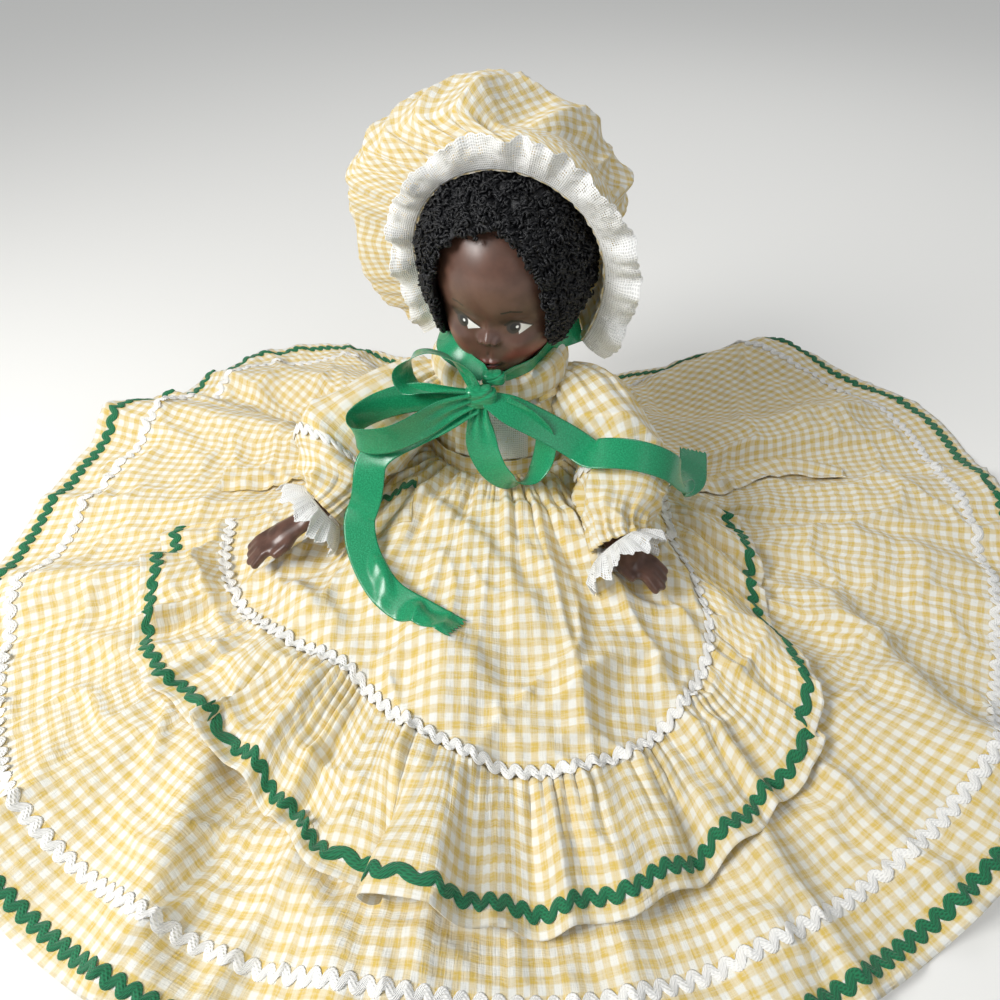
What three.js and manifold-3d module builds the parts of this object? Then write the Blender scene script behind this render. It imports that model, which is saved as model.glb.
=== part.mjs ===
// A jointed baby doll in a long gingham dress, pinafore and ruffled bonnet, sitting with its skirt
// spread round it. Millimetres, +Z up. The origin is on the floor, under the middle of the seat,
// and the doll looks along -Y.
import * as THREE from "three";
import { mergeVertices } from "three/addons/utils/BufferGeometryUtils.js";
import Module from "manifold-3d";

const solids = await Module();
solids.setup();

// Gaps and thicknesses of stuff
const seatGap = 0.35;
const layerGap = 1.15;
const clothThickness = 1.4;
const soleCut = 0.5;
const laceThickness = 1;
const trimThickness = 1;
const ribbonThickness = 0.8;
const overrun = 60;
const tinyGap = 0.05;

// Body
const hipWidth = 76;
const hipDepth = 68;
const neckHeight = 97;
const torsoShares = [
  [0, 0.76, 0.74],
  [0.07, 0.93, 0.92],
  [0.22, 1, 1],
  [0.46, 0.91, 0.92],
  [0.66, 0.9, 0.88],
  [0.82, 0.86, 0.76],
  [0.91, 0.68, 0.62],
  [0.96, 0.47, 0.48],
  [1, 0.42, 0.46],
];
const torsoSides = 24;
const bodiceStartShare = 0.455;
const bodiceEndShare = 0.945;

// Neck, tied into the cloth body
const neckRadius = 11;
const flangeRadius = 13.2;
const flangeDrop = 13;
const flangeThickness = 3;
const neckClearance = 0.4;
const tieCordRadius = 0.9;
const neckTieDrop = 2.4;
const flangeLow = neckHeight - flangeDrop;
const flangeHigh = flangeLow + flangeThickness;
const neckTieHeight = neckHeight - neckTieDrop;

// Head: centre, turn and nod of the whole head, then its own sizes
const headX = 4;
const headY = 8;
const headRise = 50;
const headZ = neckHeight + headRise;
const headTurnDegrees = -15;
const headNodDegrees = 12;
const headWidth = 70;
const headDepth = 80;
const headTop = 40;
const headBottom = 43;
const jawTaperShare = 0.2;
const jawDepthShare = 0.4;
const jawStartShare = 0.2;
const jawForward = 15;
const neckTopDrop = 27;
const eyeSpacing = 25;
const eyeHeight = -11;
const noseHeight = -15;
const noseLift = 4.5;
const cheekHeight = -24;
const cheekLift = 2.4;
const mouthHeight = -31;
const lipLift = 1.6;
const chinHeight = -39;
const chinLift = 4;
const eyeHollow = 2.2;
const foreheadHeight = 18;
const foreheadLift = 2;

// Wig
const hairThickness = 6;
const wigClearance = 1.3;
const hairlineTop = 34;
const hairlineHalfWidth = 25.5;
const hairlineDepth = -6;
const napeHeight = -30;
const hairlineLift = 6;

// Bonnet, in the head's own frame
const openingHalfWidth = 44;
const openingHigh = 47;
const openingLow = 62;
const openingX = 2;
const brimFront = -9;
const brimBack = 2;
const brimEndHeight = -43;
const crownDepth = 84;
const crownHalfWidth = 69;
const crownHalfHeight = 63;
const crownPeak = 6;
const crownLobe = 2.2;
const crownLobes = 7;
const crownSides = 28;
const crownShares = [
  [0, 0.64, 0.75, 0.3],
  [0.07, 0.77, 0.86, 0.5],
  [0.17, 0.92, 0.96, 0.85],
  [0.32, 1, 1, 1],
  [0.5, 0.98, 0.96, 0.85],
  [0.68, 0.84, 0.82, 0.6],
  [0.83, 0.62, 0.6, 0.4],
  [0.94, 0.36, 0.34, 0.25],
  [1, 0.12, 0.12, 0.2],
];
const crownShift = -19;
const neckOpeningHalfWidth = 43;
const neckOpeningDepth = 46;
const neckOpeningTop = -34;
const bonnetLaceWidth = 13;
const bonnetLaceWave = 2.2;
const bonnetLaceWaves = 6;

// Skirt, spread on the floor: how far the hem lies from the seat at even turns from +X
const skirtReach = 290;
const skirtReachShares = [
  1, 1.02, 0.77, 0.51, 0.45, 0.455, 0.55, 0.8, 0.83, 0.89, 0.98, 1.02, 1, 0.98, 0.98, 0.98, 1, 1,
];
const waistHeight = 46;
const frontTentReach = 236;
const sideTentReach = 128;
const tentPower = 1.1;
const tentFocusPower = 5;
const skirtFoldHeight = 9;
const skirtFolds = 8;
const skirtFoldPhaseAngle = 0.55;
const skirtColumns = 48;
const skirtRowShares = [0, 0.1, 0.22, 0.36, 0.5, 0.66, 0.82, 1];
const greenTrimWidth = 6.5;
const greenTrimInset = 4.5;
const whiteTrimWidth = 5.5;
const whiteTrimInset = 25.5;

// Pinafore
const apronReach = 180;
const apronReachShares = [
  0.85, 0.87, 0.865, 0.845, 0.83, 0.92, 0.995, 1, 0.94, 0.83, 0.62, 0.53, 0.5,
];
const apronStartDegrees = -171;
const apronEndDegrees = -9;
const apronColumns = 33;
const apronRowShares = [0, 0.1, 0.25, 0.45, 0.65, 0.84];
const apronPuff = 2;
const apronPuffs = 14;
const puffRow = 3;
const ruffleDepth = 60;
const ruffleDepthShares = [
  0.57, 0.65, 0.88, 0.85, 1.02, 1.08, 0.93, 0.88, 0.88, 0.98, 0.87, 0.87, 0.73,
];
const ruffleGathers = 16;
const ruffleSteps = 4;
const seamStep = 0.8;
const ruffleLift = 7;
const waistbandWidth = 9;
const bibHalfDegrees = 36;
const bibStartShare = 0.585;
const bibEndShare = 0.85;
const bibLaceHalfDegrees = 20;
const strapX = 21.5;
const strapRise = 0.5;
const strapLines = 4;
const strapSteps = 15;
const strapWidth = 9;
const roomShare = 1.5;
const pocketPlace = [-54, -52];
const pocketWidth = 25;
const pocketDepth = 27;
const pocketSteps = 5;
const pocketTrimInset = 3;
const pocketTrimWidth = 4.5;
const tieWidth = 17;

// Arms: shoulder, elbow, wrist and fingertip of each, above the lap
const shoulderDrop = 17;
const shoulderHeight = neckHeight - shoulderDrop;
const armPlaces = {
  left: [
    [-39, -4, shoulderHeight],
    [-72, -30, 62],
    [-87, -55, 46],
    [-126, -75, 28],
  ],
  right: [
    [39, -4, shoulderHeight],
    [58, -42, 63],
    [54, -83, 47],
    [78, -99, 37],
  ],
};
const armBallRadius = 11;
const upperArmRadius = 9.5;
const forearmRadius = 7.6;
const wristRadius = 5.4;
const palmWidth = 15;
const palmThickness = 8;
const fingerLength = 20;
const fingerReachShare = 0.85;
const fingerRadius = 2.1;
const thumbLength = 13;
const elbowShare = 0.235;
const wristShare = 0.75;
const sleeveBandShares = [0.35, 0.43];
const sleeveBandGap = 1.2;
const lapGap = 0.7;
const armholeShare = 0.7;
const sleeveHeadRadius = 20;
const sleevePuffRadius = 18.5;
const cuffRadius = 12;
const cuffLaceRadius = 26;
const cuffLaceReach = 13;
const cuffLaceWave = 2.4;
const cuffLaceWaves = 7;

// Legs, straight out under the skirt
const legPlaces = {
  left: [
    [-20, -25, 17],
    [-29, -70, 14.5],
    [-33, -108, 10],
    [-37, -128, 9.4],
  ],
  right: [
    [20, -25, 17],
    [29, -70, 14.5],
    [33, -108, 10],
    [37, -128, 9.4],
  ],
};
const kneeShare = 0.37;
const hipBallRadius = 14.5;
const thighRadius = 13.2;
const kneeRadius = 10.5;
const calfRadius = 11.5;
const ankleRadius = 7.2;
const footRadius = 7.9;

// Ribbon of the bonnet: chin knot, bow knot and the routes of its loops and tails
const ribbonWidth = 15;
const chinKnotRise = 10;
const chinKnotPlace = [-3, -32.5, neckHeight + chinKnotRise];
const strapInside = 2.4;
const chinStrapOut = 5;
const chinStrapForward = 12;
const chinStrapRise = 5;
const chinKnotSize = [9, 6.4, 8];
const bowKnotRise = 3;
const bowKnotPlace = [-9, -39.5, neckHeight + bowKnotRise];
const bowKnotSize = [11, 7, 10];
const leftLoopReach = [-60, -10.5, -14];
const leftLoopOpening = 11;
const dropLoopReach = [23, -12.5, -38];
const dropLoopOpening = 10;
const archLoopReach = [-35, 9.5, 16];
const archLoopOpening = 9;
const tailFacing = [0, -0.5, 0.86];
const tailClearance = 7;
const leftTailRoute = [
  [-15.5, -41, 91],
  [-38, -49, 80],
  [-60, -55, 68],
  [-66, -62, 53],
  [-65, -80, 43],
  [-52, -102, 36],
  [-33, -115, 34],
  [-19, -123, 32],
];
const rightTailRoute = [
  [-1.5, -42.5, 97],
  [9, -45, 93],
  [28, -47, 87],
  [48, -52, 78],
  [77, -48, 66],
  [95, -34, 46],
  [104, -20, 35],
  [108, -4, 34],
];

// Back closing
const buttonHeightShare = 0.033;
const buttonRadius = neckHeight * buttonHeightShare;
const buttonThickness = 1.3;
const buttonUpShares = [0.06, 0.5, 0.94];

const degrees = Math.PI / 180;
const mix = (a, b, share) => a + (b - a) * share;
const clamp = (value, low, high) => Math.min(high, Math.max(low, value));
const ease = (value) => {
  const share = clamp(value, 0, 1);
  return share * share * (3 - 2 * share);
};
const bump = (x, y, halfX, halfY) => Math.exp(-((x / halfX) ** 2) - (y / halfY) ** 2);
const add = (a, b, scale = 1) => a.map((value, axis) => value + b[axis] * scale);
const between = (a, b, share) => a.map((value, axis) => mix(value, b[axis], share));
const unit = (v) => {
  const length = Math.hypot(...v);
  return v.map((value) => value / length);
};
const cross = (a, b) => [
  a[1] * b[2] - a[2] * b[1],
  a[2] * b[0] - a[0] * b[2],
  a[0] * b[1] - a[1] * b[0],
];
const dot = (a, b) => a[0] * b[0] + a[1] * b[1] + a[2] * b[2];
const counting = (count, make) => Array.from({ length: count }, (_, index) => make(index));

// A smooth value through evenly spaced ones, open or running round.
function through(values, share, closed = false) {
  const last = values.length - (closed ? 0 : 1);
  const place = share * last;
  const first = Math.min(Math.floor(place), last - (closed ? 0 : 1));
  const at = (index) => {
    const held = closed
      ? (index + values.length) % values.length
      : clamp(index, 0, values.length - 1);
    return values[held];
  };
  const [a, b, c, d] = [at(first - 1), at(first), at(first + 1), at(first + 2)];
  const t = place - first;
  return b + 0.5 * t * (c - a + t * (2 * a - 5 * b + 4 * c - d + t * (3 * (b - c) + d - a)));
}

// A smooth place along a route of points.
const along = (route, share) =>
  counting(3, (axis) =>
    through(
      route.map((point) => point[axis]),
      share,
    ),
  );

// The direction of a route at a share of it.
function wayAt(route, share) {
  const step = 0.02;
  const ahead = along(route, Math.min(1, share + step));
  return unit(add(ahead, along(route, Math.max(0, share - step)), -1));
}

// A closed solid from rings of points, with flat ends or running round.
function loft(rings, closed = false) {
  const points = rings.flat();
  const faces = [];
  const size = rings[0].length;
  const count = rings.length;
  for (let row = 0; row < (closed ? count : count - 1); row += 1) {
    for (let side = 0; side < size; side += 1) {
      const next = (side + 1) % size;
      const above = ((row + 1) % count) * size;
      const [a, b] = [row * size + side, row * size + next];
      const [c, d] = [above + next, above + side];
      faces.push(a, b, c, a, c, d);
    }
  }
  if (!closed) {
    for (const row of [0, count - 1]) {
      const ring = rings[row];
      points.push(ring.reduce((sum, point) => add(sum, point, 1 / size), [0, 0, 0]));
      for (let side = 0; side < size; side += 1) {
        const [a, b] = [row * size + side, row * size + ((side + 1) % size)];
        faces.push(...(row ? [a, b, points.length - 1] : [b, a, points.length - 1]));
      }
    }
  }
  return facing(points, faces);
}

// A geometry whose faces point outwards.
function facing(points, faces) {
  let volume = 0;
  for (let face = 0; face < faces.length; face += 3) {
    const [a, b, c] = [points[faces[face]], points[faces[face + 1]], points[faces[face + 2]]];
    const normal = cross(b, c);
    volume += a[0] * normal[0] + a[1] * normal[1] + a[2] * normal[2];
  }
  const index = volume < 0 ? faces.toReversed() : faces;
  const geometry = new THREE.BufferGeometry();
  geometry.setAttribute("position", new THREE.Float32BufferAttribute(points.flat(), 3));
  geometry.setIndex(index);
  return geometry;
}

// A thin solid between two like grids of points, given as columns of rows. Both faces share
// their diagonals.
function slab(front, back, closed = false) {
  const points = [...front.flat(), ...back.flat()];
  const columns = front.length;
  const rows = front[0].length;
  const at = (column, row, behind) => (column % columns) * rows + row + (behind ? columns * rows : 0);
  const faces = [];
  const quad = (a, b, c, d) => faces.push(a, b, c, a, c, d);
  for (let column = 0; column < (closed ? columns : columns - 1); column += 1) {
    for (let row = 0; row < rows - 1; row += 1) {
      const [a, b] = [at(column, row), at(column, row + 1)];
      const [c, d] = [at(column + 1, row + 1), at(column + 1, row)];
      const behind = columns * rows;
      faces.push(a, b, c, a, c, d);
      faces.push(a + behind, c + behind, b + behind, a + behind, d + behind, c + behind);
    }
    for (const row of [0, rows - 1]) {
      const [a, b] = [at(column, row), at(column, row, true)];
      const [c, d] = [at(column + 1, row, true), at(column + 1, row)];
      if (row) quad(a, b, c, d);
      else quad(a, d, c, b);
    }
  }
  if (!closed) {
    for (const column of [0, columns - 1]) {
      for (let row = 0; row < rows - 1; row += 1) {
        const [a, b] = [at(column, row), at(column, row, true)];
        const [c, d] = [at(column, row + 1, true), at(column, row + 1)];
        if (column) quad(a, d, c, b);
        else quad(a, b, c, d);
      }
    }
  }
  return facing(points, faces);
}

const lifted = (grid, rise) => grid.map((column) => column.map(([x, y, z]) => [x, y, z + rise]));

function toSolid(geometry) {
  const bare = geometry.index ? geometry.toNonIndexed() : geometry.clone();
  bare.deleteAttribute("normal");
  bare.deleteAttribute("uv");
  const merged = mergeVertices(bare, 1e-4);
  const mesh = new solids.Mesh({
    numProp: 3,
    vertProperties: new Float32Array(merged.attributes.position.array),
    triVerts: new Uint32Array(merged.index.array),
  });
  return new solids.Manifold(mesh);
}

function toGeometry(solid) {
  const mesh = solid.getMesh();
  const geometry = new THREE.BufferGeometry();
  geometry.setAttribute("position", new THREE.BufferAttribute(mesh.vertProperties, 3));
  geometry.setIndex(new THREE.BufferAttribute(mesh.triVerts, 1));
  return geometry;
}

const ballSides = 14;
const ball = (centre, radius) =>
  new THREE.SphereGeometry(radius, ballSides, ballSides / 2).translate(...centre);
// A faceted hollow that a faceted ball turns in.
const socket = (centre, radius) =>
  new THREE.SphereGeometry(
    (radius + seatGap) / Math.cos(Math.PI / ballSides) ** 2,
    ballSides,
    ballSides / 2,
  )
    .rotateY(Math.PI / ballSides)
    .translate(...centre);

// A square frame across a direction.
function frameOf(direction) {
  const forward = unit(direction);
  const side = unit(cross(forward, [0, 0, 1]));
  return { forward, side, up: cross(side, forward) };
}

// A ring of points round a place, across a direction.
function ringAt(centre, direction, halfWidth, halfHeight, sides, wave = () => 0) {
  const { side, up } = frameOf(direction);
  return counting(sides, (step) => {
    const turn = (step / sides) * 2 * Math.PI;
    const swell = wave(turn);
    const across = add(centre, side, Math.cos(turn) * (halfWidth + swell));
    return add(across, up, Math.sin(turn) * (halfHeight + swell));
  });
}

// A limb of round sections along a route. Each section is a share of the route and its radius.
function limb(route, sections, sides) {
  return loft(limbRings(route, sections, sides));
}

function limbRings(route, sections, sides) {
  return sections.map(([share, radius, flatShare = 1]) => {
    const way = wayAt(route, share);
    return ringAt(along(route, share), way, radius, radius * flatShare, sides);
  });
}

// A flat ribbon along places, each with the direction of its width.
function ribbon(places, closed = false) {
  const count = places.length;
  const rings = places.map(({ at, across, width }, index) => {
    const next = places[closed ? (index + 1) % count : Math.min(count - 1, index + 1)].at;
    const last = places[closed ? (index + count - 1) % count : Math.max(0, index - 1)].at;
    const ahead = unit(add(next, last, -1));
    const normal = unit(cross(ahead, across));
    const flat = unit(cross(normal, ahead));
    const corners = [
      [-1, -1],
      [1, -1],
      [1, 1],
      [-1, 1],
    ];
    return corners.map(([side, face]) =>
      add(add(at, flat, (side * width) / 2), normal, (face * ribbonThickness) / 2),
    );
  });
  return loft(rings, closed);
}

const parts = new THREE.Group();
const headParts = new THREE.Group();
headParts.position.set(headX, headY, headZ);
headParts.rotation.set(headNodDegrees * degrees, 0, headTurnDegrees * degrees, "ZYX");
parts.add(headParts);

const finishes = {
  cloth: [0xe9c866, 0.92, 0],
  body: [0xcdb894, 0.95, 0],
  skin: [0x3b1f16, 0.38, 0],
  hair: [0x0d0c10, 0.98, 0],
  ribbon: [0x0f8f4c, 0.34, 0],
  lace: [0xf3efe6, 0.9, 0],
  green_trim: [0x12824a, 0.8, 0],
  white_trim: [0xf4f1ea, 0.85, 0],
  cord: [0xe0d6bd, 0.9, 0],
  button: [0xf1ede2, 0.4, 0],
};

function place(name, geometry, finish, group = parts) {
  const [color, roughness, metalness] = finishes[finish];
  const material = new THREE.MeshStandardMaterial({ color, roughness, metalness });
  const mesh = new THREE.Mesh(geometry, material);
  mesh.name = name;
  group.add(mesh);
}

// Torso profile: half-width, half-depth and height at a share of the neck height.
function profile(share) {
  const upper = torsoShares.findIndex(([height]) => height >= share - 1e-9);
  const high = Math.max(1, upper < 0 ? torsoShares.length - 1 : upper);
  const [a, b] = [torsoShares[high - 1], torsoShares[high]];
  const t = clamp((share - a[0]) / (b[0] - a[0]), 0, 1);
  return [
    (mix(a[1], b[1], t) * hipWidth) / 2,
    (mix(a[2], b[2], t) * hipDepth) / 2,
    share * neckHeight,
  ];
}

// A place on the clothed body, a height share and a turn from +X, with a distance from the cloth body.
function onBody(share, turn, distance) {
  const step = 0.03;
  const [width, depth, height] = profile(share);
  const [lowWidth, , lowHeight] = profile(Math.max(0, share - step));
  const [highWidth, , highHeight] = profile(Math.min(1, share + step));
  const slope = unit([highHeight - lowHeight, lowWidth - highWidth, 0]);
  return [
    (width + distance * slope[0]) * Math.cos(turn),
    (depth + distance * slope[0]) * Math.sin(turn),
    height + distance * slope[1],
  ];
}

const bodyRing = (share, distance, sides = torsoSides) =>
  counting(sides, (step) => onBody(share, (step / sides) * 2 * Math.PI, distance));

const bodiceInside = seatGap;
const bodiceOutside = seatGap + clothThickness;
const secondInside = bodiceOutside + seatGap;
const secondOutside = secondInside + clothThickness;

const torsoBlank = loft(torsoShares.map(([share]) => bodyRing(share, 0)));
const neckRoom = new THREE.LatheGeometry(
  [
    [0, flangeLow - neckClearance],
    [flangeRadius + neckClearance, flangeLow - neckClearance],
    [flangeRadius + neckClearance, flangeHigh + neckClearance],
    [neckRadius + neckClearance, flangeHigh + neckClearance],
    [neckRadius + neckClearance, neckHeight + overrun],
    [0, neckHeight + overrun],
  ].map(([radius, height]) => new THREE.Vector2(radius, height)),
  torsoSides,
).rotateX(Math.PI / 2);

let torso = toSolid(torsoBlank).subtract(toSolid(neckRoom));
for (const side of ["left", "right"]) {
  torso = torso.subtract(toSolid(socket(armPlaces[side][0], armBallRadius)));
  torso = torso.subtract(toSolid(socket(legPlaces[side][0], hipBallRadius)));
}
place("torso", toGeometry(torso), "body");

const neckWaist = profile(neckTieHeight / neckHeight)[0];
place(
  "neck_tie",
  new THREE.TorusGeometry(neckWaist + seatGap + tieCordRadius, tieCordRadius, 5, torsoSides)
    .scale(1, profile(neckTieHeight / neckHeight)[1] / neckWaist, 1)
    .translate(0, 0, neckTieHeight),
  "cord",
);

// Head: an ellipsoid whose lower face narrows and reaches forward, with the swellings and
// hollows of a baby's face.
function headPoint(turn, rise, distance) {
  const height = Math.sin(rise) * (Math.sin(rise) > 0 ? headTop : headBottom);
  const jaw = 1 - jawTaperShare * ease(-height / headBottom);
  const reach = Math.cos(rise);
  const x = Math.sin(turn) * reach * (headWidth / 2) * jaw;
  const front = Math.cos(turn);
  const down = (-height / headBottom - jawStartShare) / (1 - jawStartShare);
  let y = -front * reach * (headDepth / 2) * mix(1, jaw, jawDepthShare) - jawForward * ease(down);
  const z = height;
  if (front > 0) {
    const nose = noseLift * bump(x, z - noseHeight, eyeSpacing * 0.19, eyeSpacing * 0.2);
    const cheekX = Math.abs(x) - eyeSpacing * 0.62;
    const cheekSize = eyeSpacing * 0.4;
    const cheeks = cheekLift * bump(cheekX, z - cheekHeight, cheekSize, cheekSize);
    const lips = lipLift * bump(x, z - mouthHeight, eyeSpacing * 0.3, eyeSpacing * 0.13);
    const chin = chinLift * bump(x, z - chinHeight, eyeSpacing * 0.36, eyeSpacing * 0.22);
    const eyeX = Math.abs(x) - eyeSpacing / 2;
    const eyes = eyeHollow * bump(eyeX, z - eyeHeight, eyeSpacing * 0.26, eyeSpacing * 0.22);
    const forehead = foreheadLift * bump(x, z - foreheadHeight, headWidth * 0.32, headTop * 0.42);
    y -= nose + cheeks + lips + chin + forehead - eyes;
  }
  const away = unit([x / headWidth ** 2, y / headDepth ** 2, z / (headTop + headBottom) ** 2]);
  return add([x, y, z], away, distance);
}

function headRings(distance, sides, rows) {
  return counting(rows, (row) => {
    const share = (row + 0.5) / rows;
    const rise = (share - 0.5) * Math.PI + 0.16 * Math.sin(2 * Math.PI * share);
    return counting(sides, (step) => {
      const even = (step / sides) * 2 * Math.PI;
      return headPoint(even - 0.45 * Math.sin(even), rise, distance);
    });
  });
}

headParts.updateMatrix();
const intoHead = headParts.matrix.clone().invert();
const neck = new THREE.LatheGeometry(
  [
    [0, flangeLow],
    [flangeRadius, flangeLow],
    [flangeRadius, flangeHigh],
    [neckRadius, flangeHigh],
    [neckRadius, headZ - neckTopDrop],
    [0, headZ - neckTopDrop],
  ].map(([radius, height]) => new THREE.Vector2(radius, height)),
  torsoSides,
)
  .rotateX(Math.PI / 2)
  .applyMatrix4(intoHead);
const headSides = 26;
const headRows = 18;
const skull = toSolid(loft(headRings(0, headSides, headRows)));
place("head", toGeometry(skull.add(toSolid(neck))), "skin", headParts);

// Wig: a thick cap over the skull, open at the face and above the nape.
const hairlinePoints = [
  [-1, -2],
  [-1, 0.22],
  [-0.86, 0.62],
  [-0.5, 0.87],
  [0.16, 1],
  [0.55, 0.8],
  [0.9, 0.4],
  [1, -0.1],
  [1, -2],
].map(([x, z]) => [x * hairlineHalfWidth, z * hairlineTop]);
const faceCut = loft(
  [hairlineDepth, -overrun].map((y, index) =>
    hairlinePoints.map(([x, z]) => [x, y, z + (index ? hairlineLift : 0) - hairlineLift / 2]),
  ),
);
const napeCut = new THREE.BoxGeometry(overrun * 2, overrun * 2, overrun * 2).translate(
  0,
  0,
  napeHeight - overrun,
);
const wig = toSolid(loft(headRings(hairThickness, 22, 12)))
  .subtract(toSolid(loft(headRings(wigClearance, headSides, headRows))))
  .subtract(toSolid(faceCut))
  .subtract(toSolid(napeCut));
place("wig", toGeometry(wig), "hair", headParts);

// Bonnet: the face opening, as a place at a turn from +X in the head's own frame.
function openingPoint(turn, y, distance) {
  const high = Math.sin(turn) > 0 ? openingHigh : openingLow;
  return [
    openingX + Math.cos(turn) * (openingHalfWidth + distance),
    y,
    Math.sin(turn) * (high + distance),
  ];
}
const brimEndTurn = Math.asin(brimEndHeight / openingLow);
const brimColumns = 27;
const brimTurn = (column) =>
  mix(brimEndTurn, Math.PI - brimEndTurn, column / (brimColumns - 1));
const brimGrid = (distance) =>
  counting(brimColumns, (column) =>
    [brimFront, brimBack].map((y) => openingPoint(brimTurn(column), y, distance)),
  );
place("bonnet_brim", slab(brimGrid(clothThickness), brimGrid(0)), "cloth", headParts);

const laceColumns = 45;
const laceGrid = (depth) =>
  counting(laceColumns, (column) => {
    const turn = mix(brimEndTurn, Math.PI - brimEndTurn, column / (laceColumns - 1));
    const wave = bonnetLaceWave * Math.sin(turn * bonnetLaceWaves * 2);
    return [0, 1].map((share) =>
      openingPoint(
        turn,
        brimFront - seatGap - depth + wave * share - laceThickness * share,
        share * bonnetLaceWidth,
      ),
    );
  });
place(
  "bonnet_lace",
  slab(laceGrid(bonnetLaceWave + laceThickness), laceGrid(bonnetLaceWave)),
  "lace",
  headParts,
);

function crownRings(inset) {
  return crownShares.map(([depthShare, widthShare, heightShare, lobeShare]) => {
    const y = brimBack + seatGap + depthShare * (crownDepth - inset) + (depthShare ? 0 : -inset);
    const shift = crownShift * ease(depthShare * 6) * (1 - ease(depthShare) * 0.9);
    const rise = depthShare ** 2 * crownHalfHeight * 0.14;
    return counting(crownSides, (step) => {
      const turn = (step / crownSides) * 2 * Math.PI;
      const lobe = crownLobe * lobeShare * Math.cos(turn * crownLobes);
      const peak = crownPeak * lobeShare * Math.exp(-(((turn - Math.PI / 2) / 0.3) ** 2));
      return [
        openingX + shift + Math.cos(turn) * (crownHalfWidth * widthShare + lobe - inset),
        y,
        rise + Math.sin(turn) * (crownHalfHeight * heightShare + lobe + peak - inset),
      ];
    });
  });
}
const neckOpening = new THREE.CylinderGeometry(1, 1, overrun * 2, 24)
  .rotateX(Math.PI / 2)
  .scale(neckOpeningHalfWidth, neckOpeningDepth, 1)
  .translate(openingX, 0, neckOpeningTop - overrun);
const innerCrown = crownRings(clothThickness);
const crownMouth = innerCrown[0].map(([x, , z]) => [x, brimFront, z]);
const crown = toSolid(loft(crownRings(0)))
  .subtract(toSolid(loft([crownMouth, ...innerCrown])))
  .subtract(toSolid(neckOpening));
place("bonnet_crown", toGeometry(crown), "cloth", headParts);

// Bodice, with armholes round the shoulder balls and a neck edge under the collar.
const bodiceRows = [bodiceStartShare, 0.46, 0.56, 0.66, 0.74, 0.82, 0.91, bodiceEndShare];
const bodyGrid = (shares, fromTurn, toTurn, columns, distance) =>
  counting(columns, (column) =>
    shares.map((share) => onBody(share, mix(fromTurn, toTurn, column / (columns - 1)), distance)),
  );
const rowsWithin = (from, to) => [
  from,
  ...bodiceRows.filter((share) => share > from && share < to),
  to,
];
const bodiceGrid = (distance) =>
  counting(torsoSides, (step) =>
    bodiceRows.map((share) => onBody(share, (step / torsoSides) * 2 * Math.PI, distance)),
  );
let bodice = toSolid(slab(bodiceGrid(bodiceOutside), bodiceGrid(bodiceInside), true));
for (const side of ["left", "right"]) {
  bodice = bodice.subtract(toSolid(socket(armPlaces[side][0], armBallRadius + tinyGap)));
}
place("bodice", toGeometry(bodice), "cloth");

const collarColumns = 27;
const collarGrid = (distance) =>
  counting(collarColumns, (column) => {
    const turn = (column / collarColumns) * 2 * Math.PI;
    const wave = clothThickness * 0.7 * (1 + Math.cos(turn * 9));
    return [0.95, 0.922, 0.894].map((share, row) =>
      onBody(share, turn, distance + (wave * row) / 2),
    );
  });

// Skirt: a low tent from the waist, with folds that rise towards the hem.
const bodiceEdge = (turn) => {
  const [width, depth] = profile(bodiceStartShare);
  const reachX = width + bodiceOutside + seatGap;
  const reachY = depth + bodiceOutside + seatGap;
  return 1 / Math.hypot(Math.cos(turn) / reachX, Math.sin(turn) / reachY);
};
const skirtHem = (turn) =>
  skirtReach * through(skirtReachShares, (turn / (2 * Math.PI) + 1) % 1, true);
function skirtHeight(turn, radius) {
  const front = ((1 - Math.sin(turn)) / 2) ** tentFocusPower;
  const reach = mix(sideTentReach, frontTentReach, front);
  const start = bodiceEdge(turn);
  const slope = clamp(1 - (radius - start) / (reach - start), 0, 1) ** tentPower;
  const outward = clamp((radius - start) / (skirtHem(turn) - start), 0, 1);
  const wave = Math.cos(turn * skirtFolds + skirtFoldPhaseAngle + 0.6 * Math.sin(turn * 3));
  const fold = clamp(wave + 0.25, 0, 2) / 1.25;
  return waistHeight * slope + skirtFoldHeight * fold ** 1.3 * ease(outward * 1.5 - 0.25);
}
const polar = (turn, radius, height) => [
  radius * Math.cos(turn),
  radius * Math.sin(turn),
  height,
];
function skirtRows(turn) {
  const start = bodiceEdge(turn);
  const hem = skirtHem(turn);
  const whiteInner = hem - whiteTrimInset - whiteTrimWidth;
  return [
    ...skirtRowShares.map((share) => mix(start, whiteInner, share)),
    hem - whiteTrimInset,
    hem - greenTrimInset - greenTrimWidth,
    hem - greenTrimInset,
    hem,
  ];
}
const skirtTurns = counting(skirtColumns, (column) => (column / skirtColumns) * 2 * Math.PI);
const skirtTop = skirtTurns.map((turn) =>
  skirtRows(turn).map((radius) =>
    polar(turn, radius, clothThickness - soleCut + skirtHeight(turn, radius)),
  ),
);
const skirtUnder = skirtTurns.map((turn) =>
  skirtRows(turn).map((radius) =>
    polar(turn, radius, Math.max(0, skirtHeight(turn, radius) - soleCut)),
  ),
);
place("skirt", slab(skirtTop, skirtUnder, true), "cloth");

// A flat trim over some rows of a sheet.
function trim(grid, firstRow, lastRow, closed) {
  const rows = grid.map((column) => column.slice(firstRow, lastRow + 1));
  return slab(lifted(rows, seatGap + trimThickness), lifted(rows, seatGap), closed);
}
const whiteRow = skirtRowShares.length - 1;
place("skirt_white_rickrack", trim(skirtTop, whiteRow, whiteRow + 1, true), "white_trim");
place("skirt_green_rickrack", trim(skirtTop, whiteRow + 2, whiteRow + 3, true), "green_trim");

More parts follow.
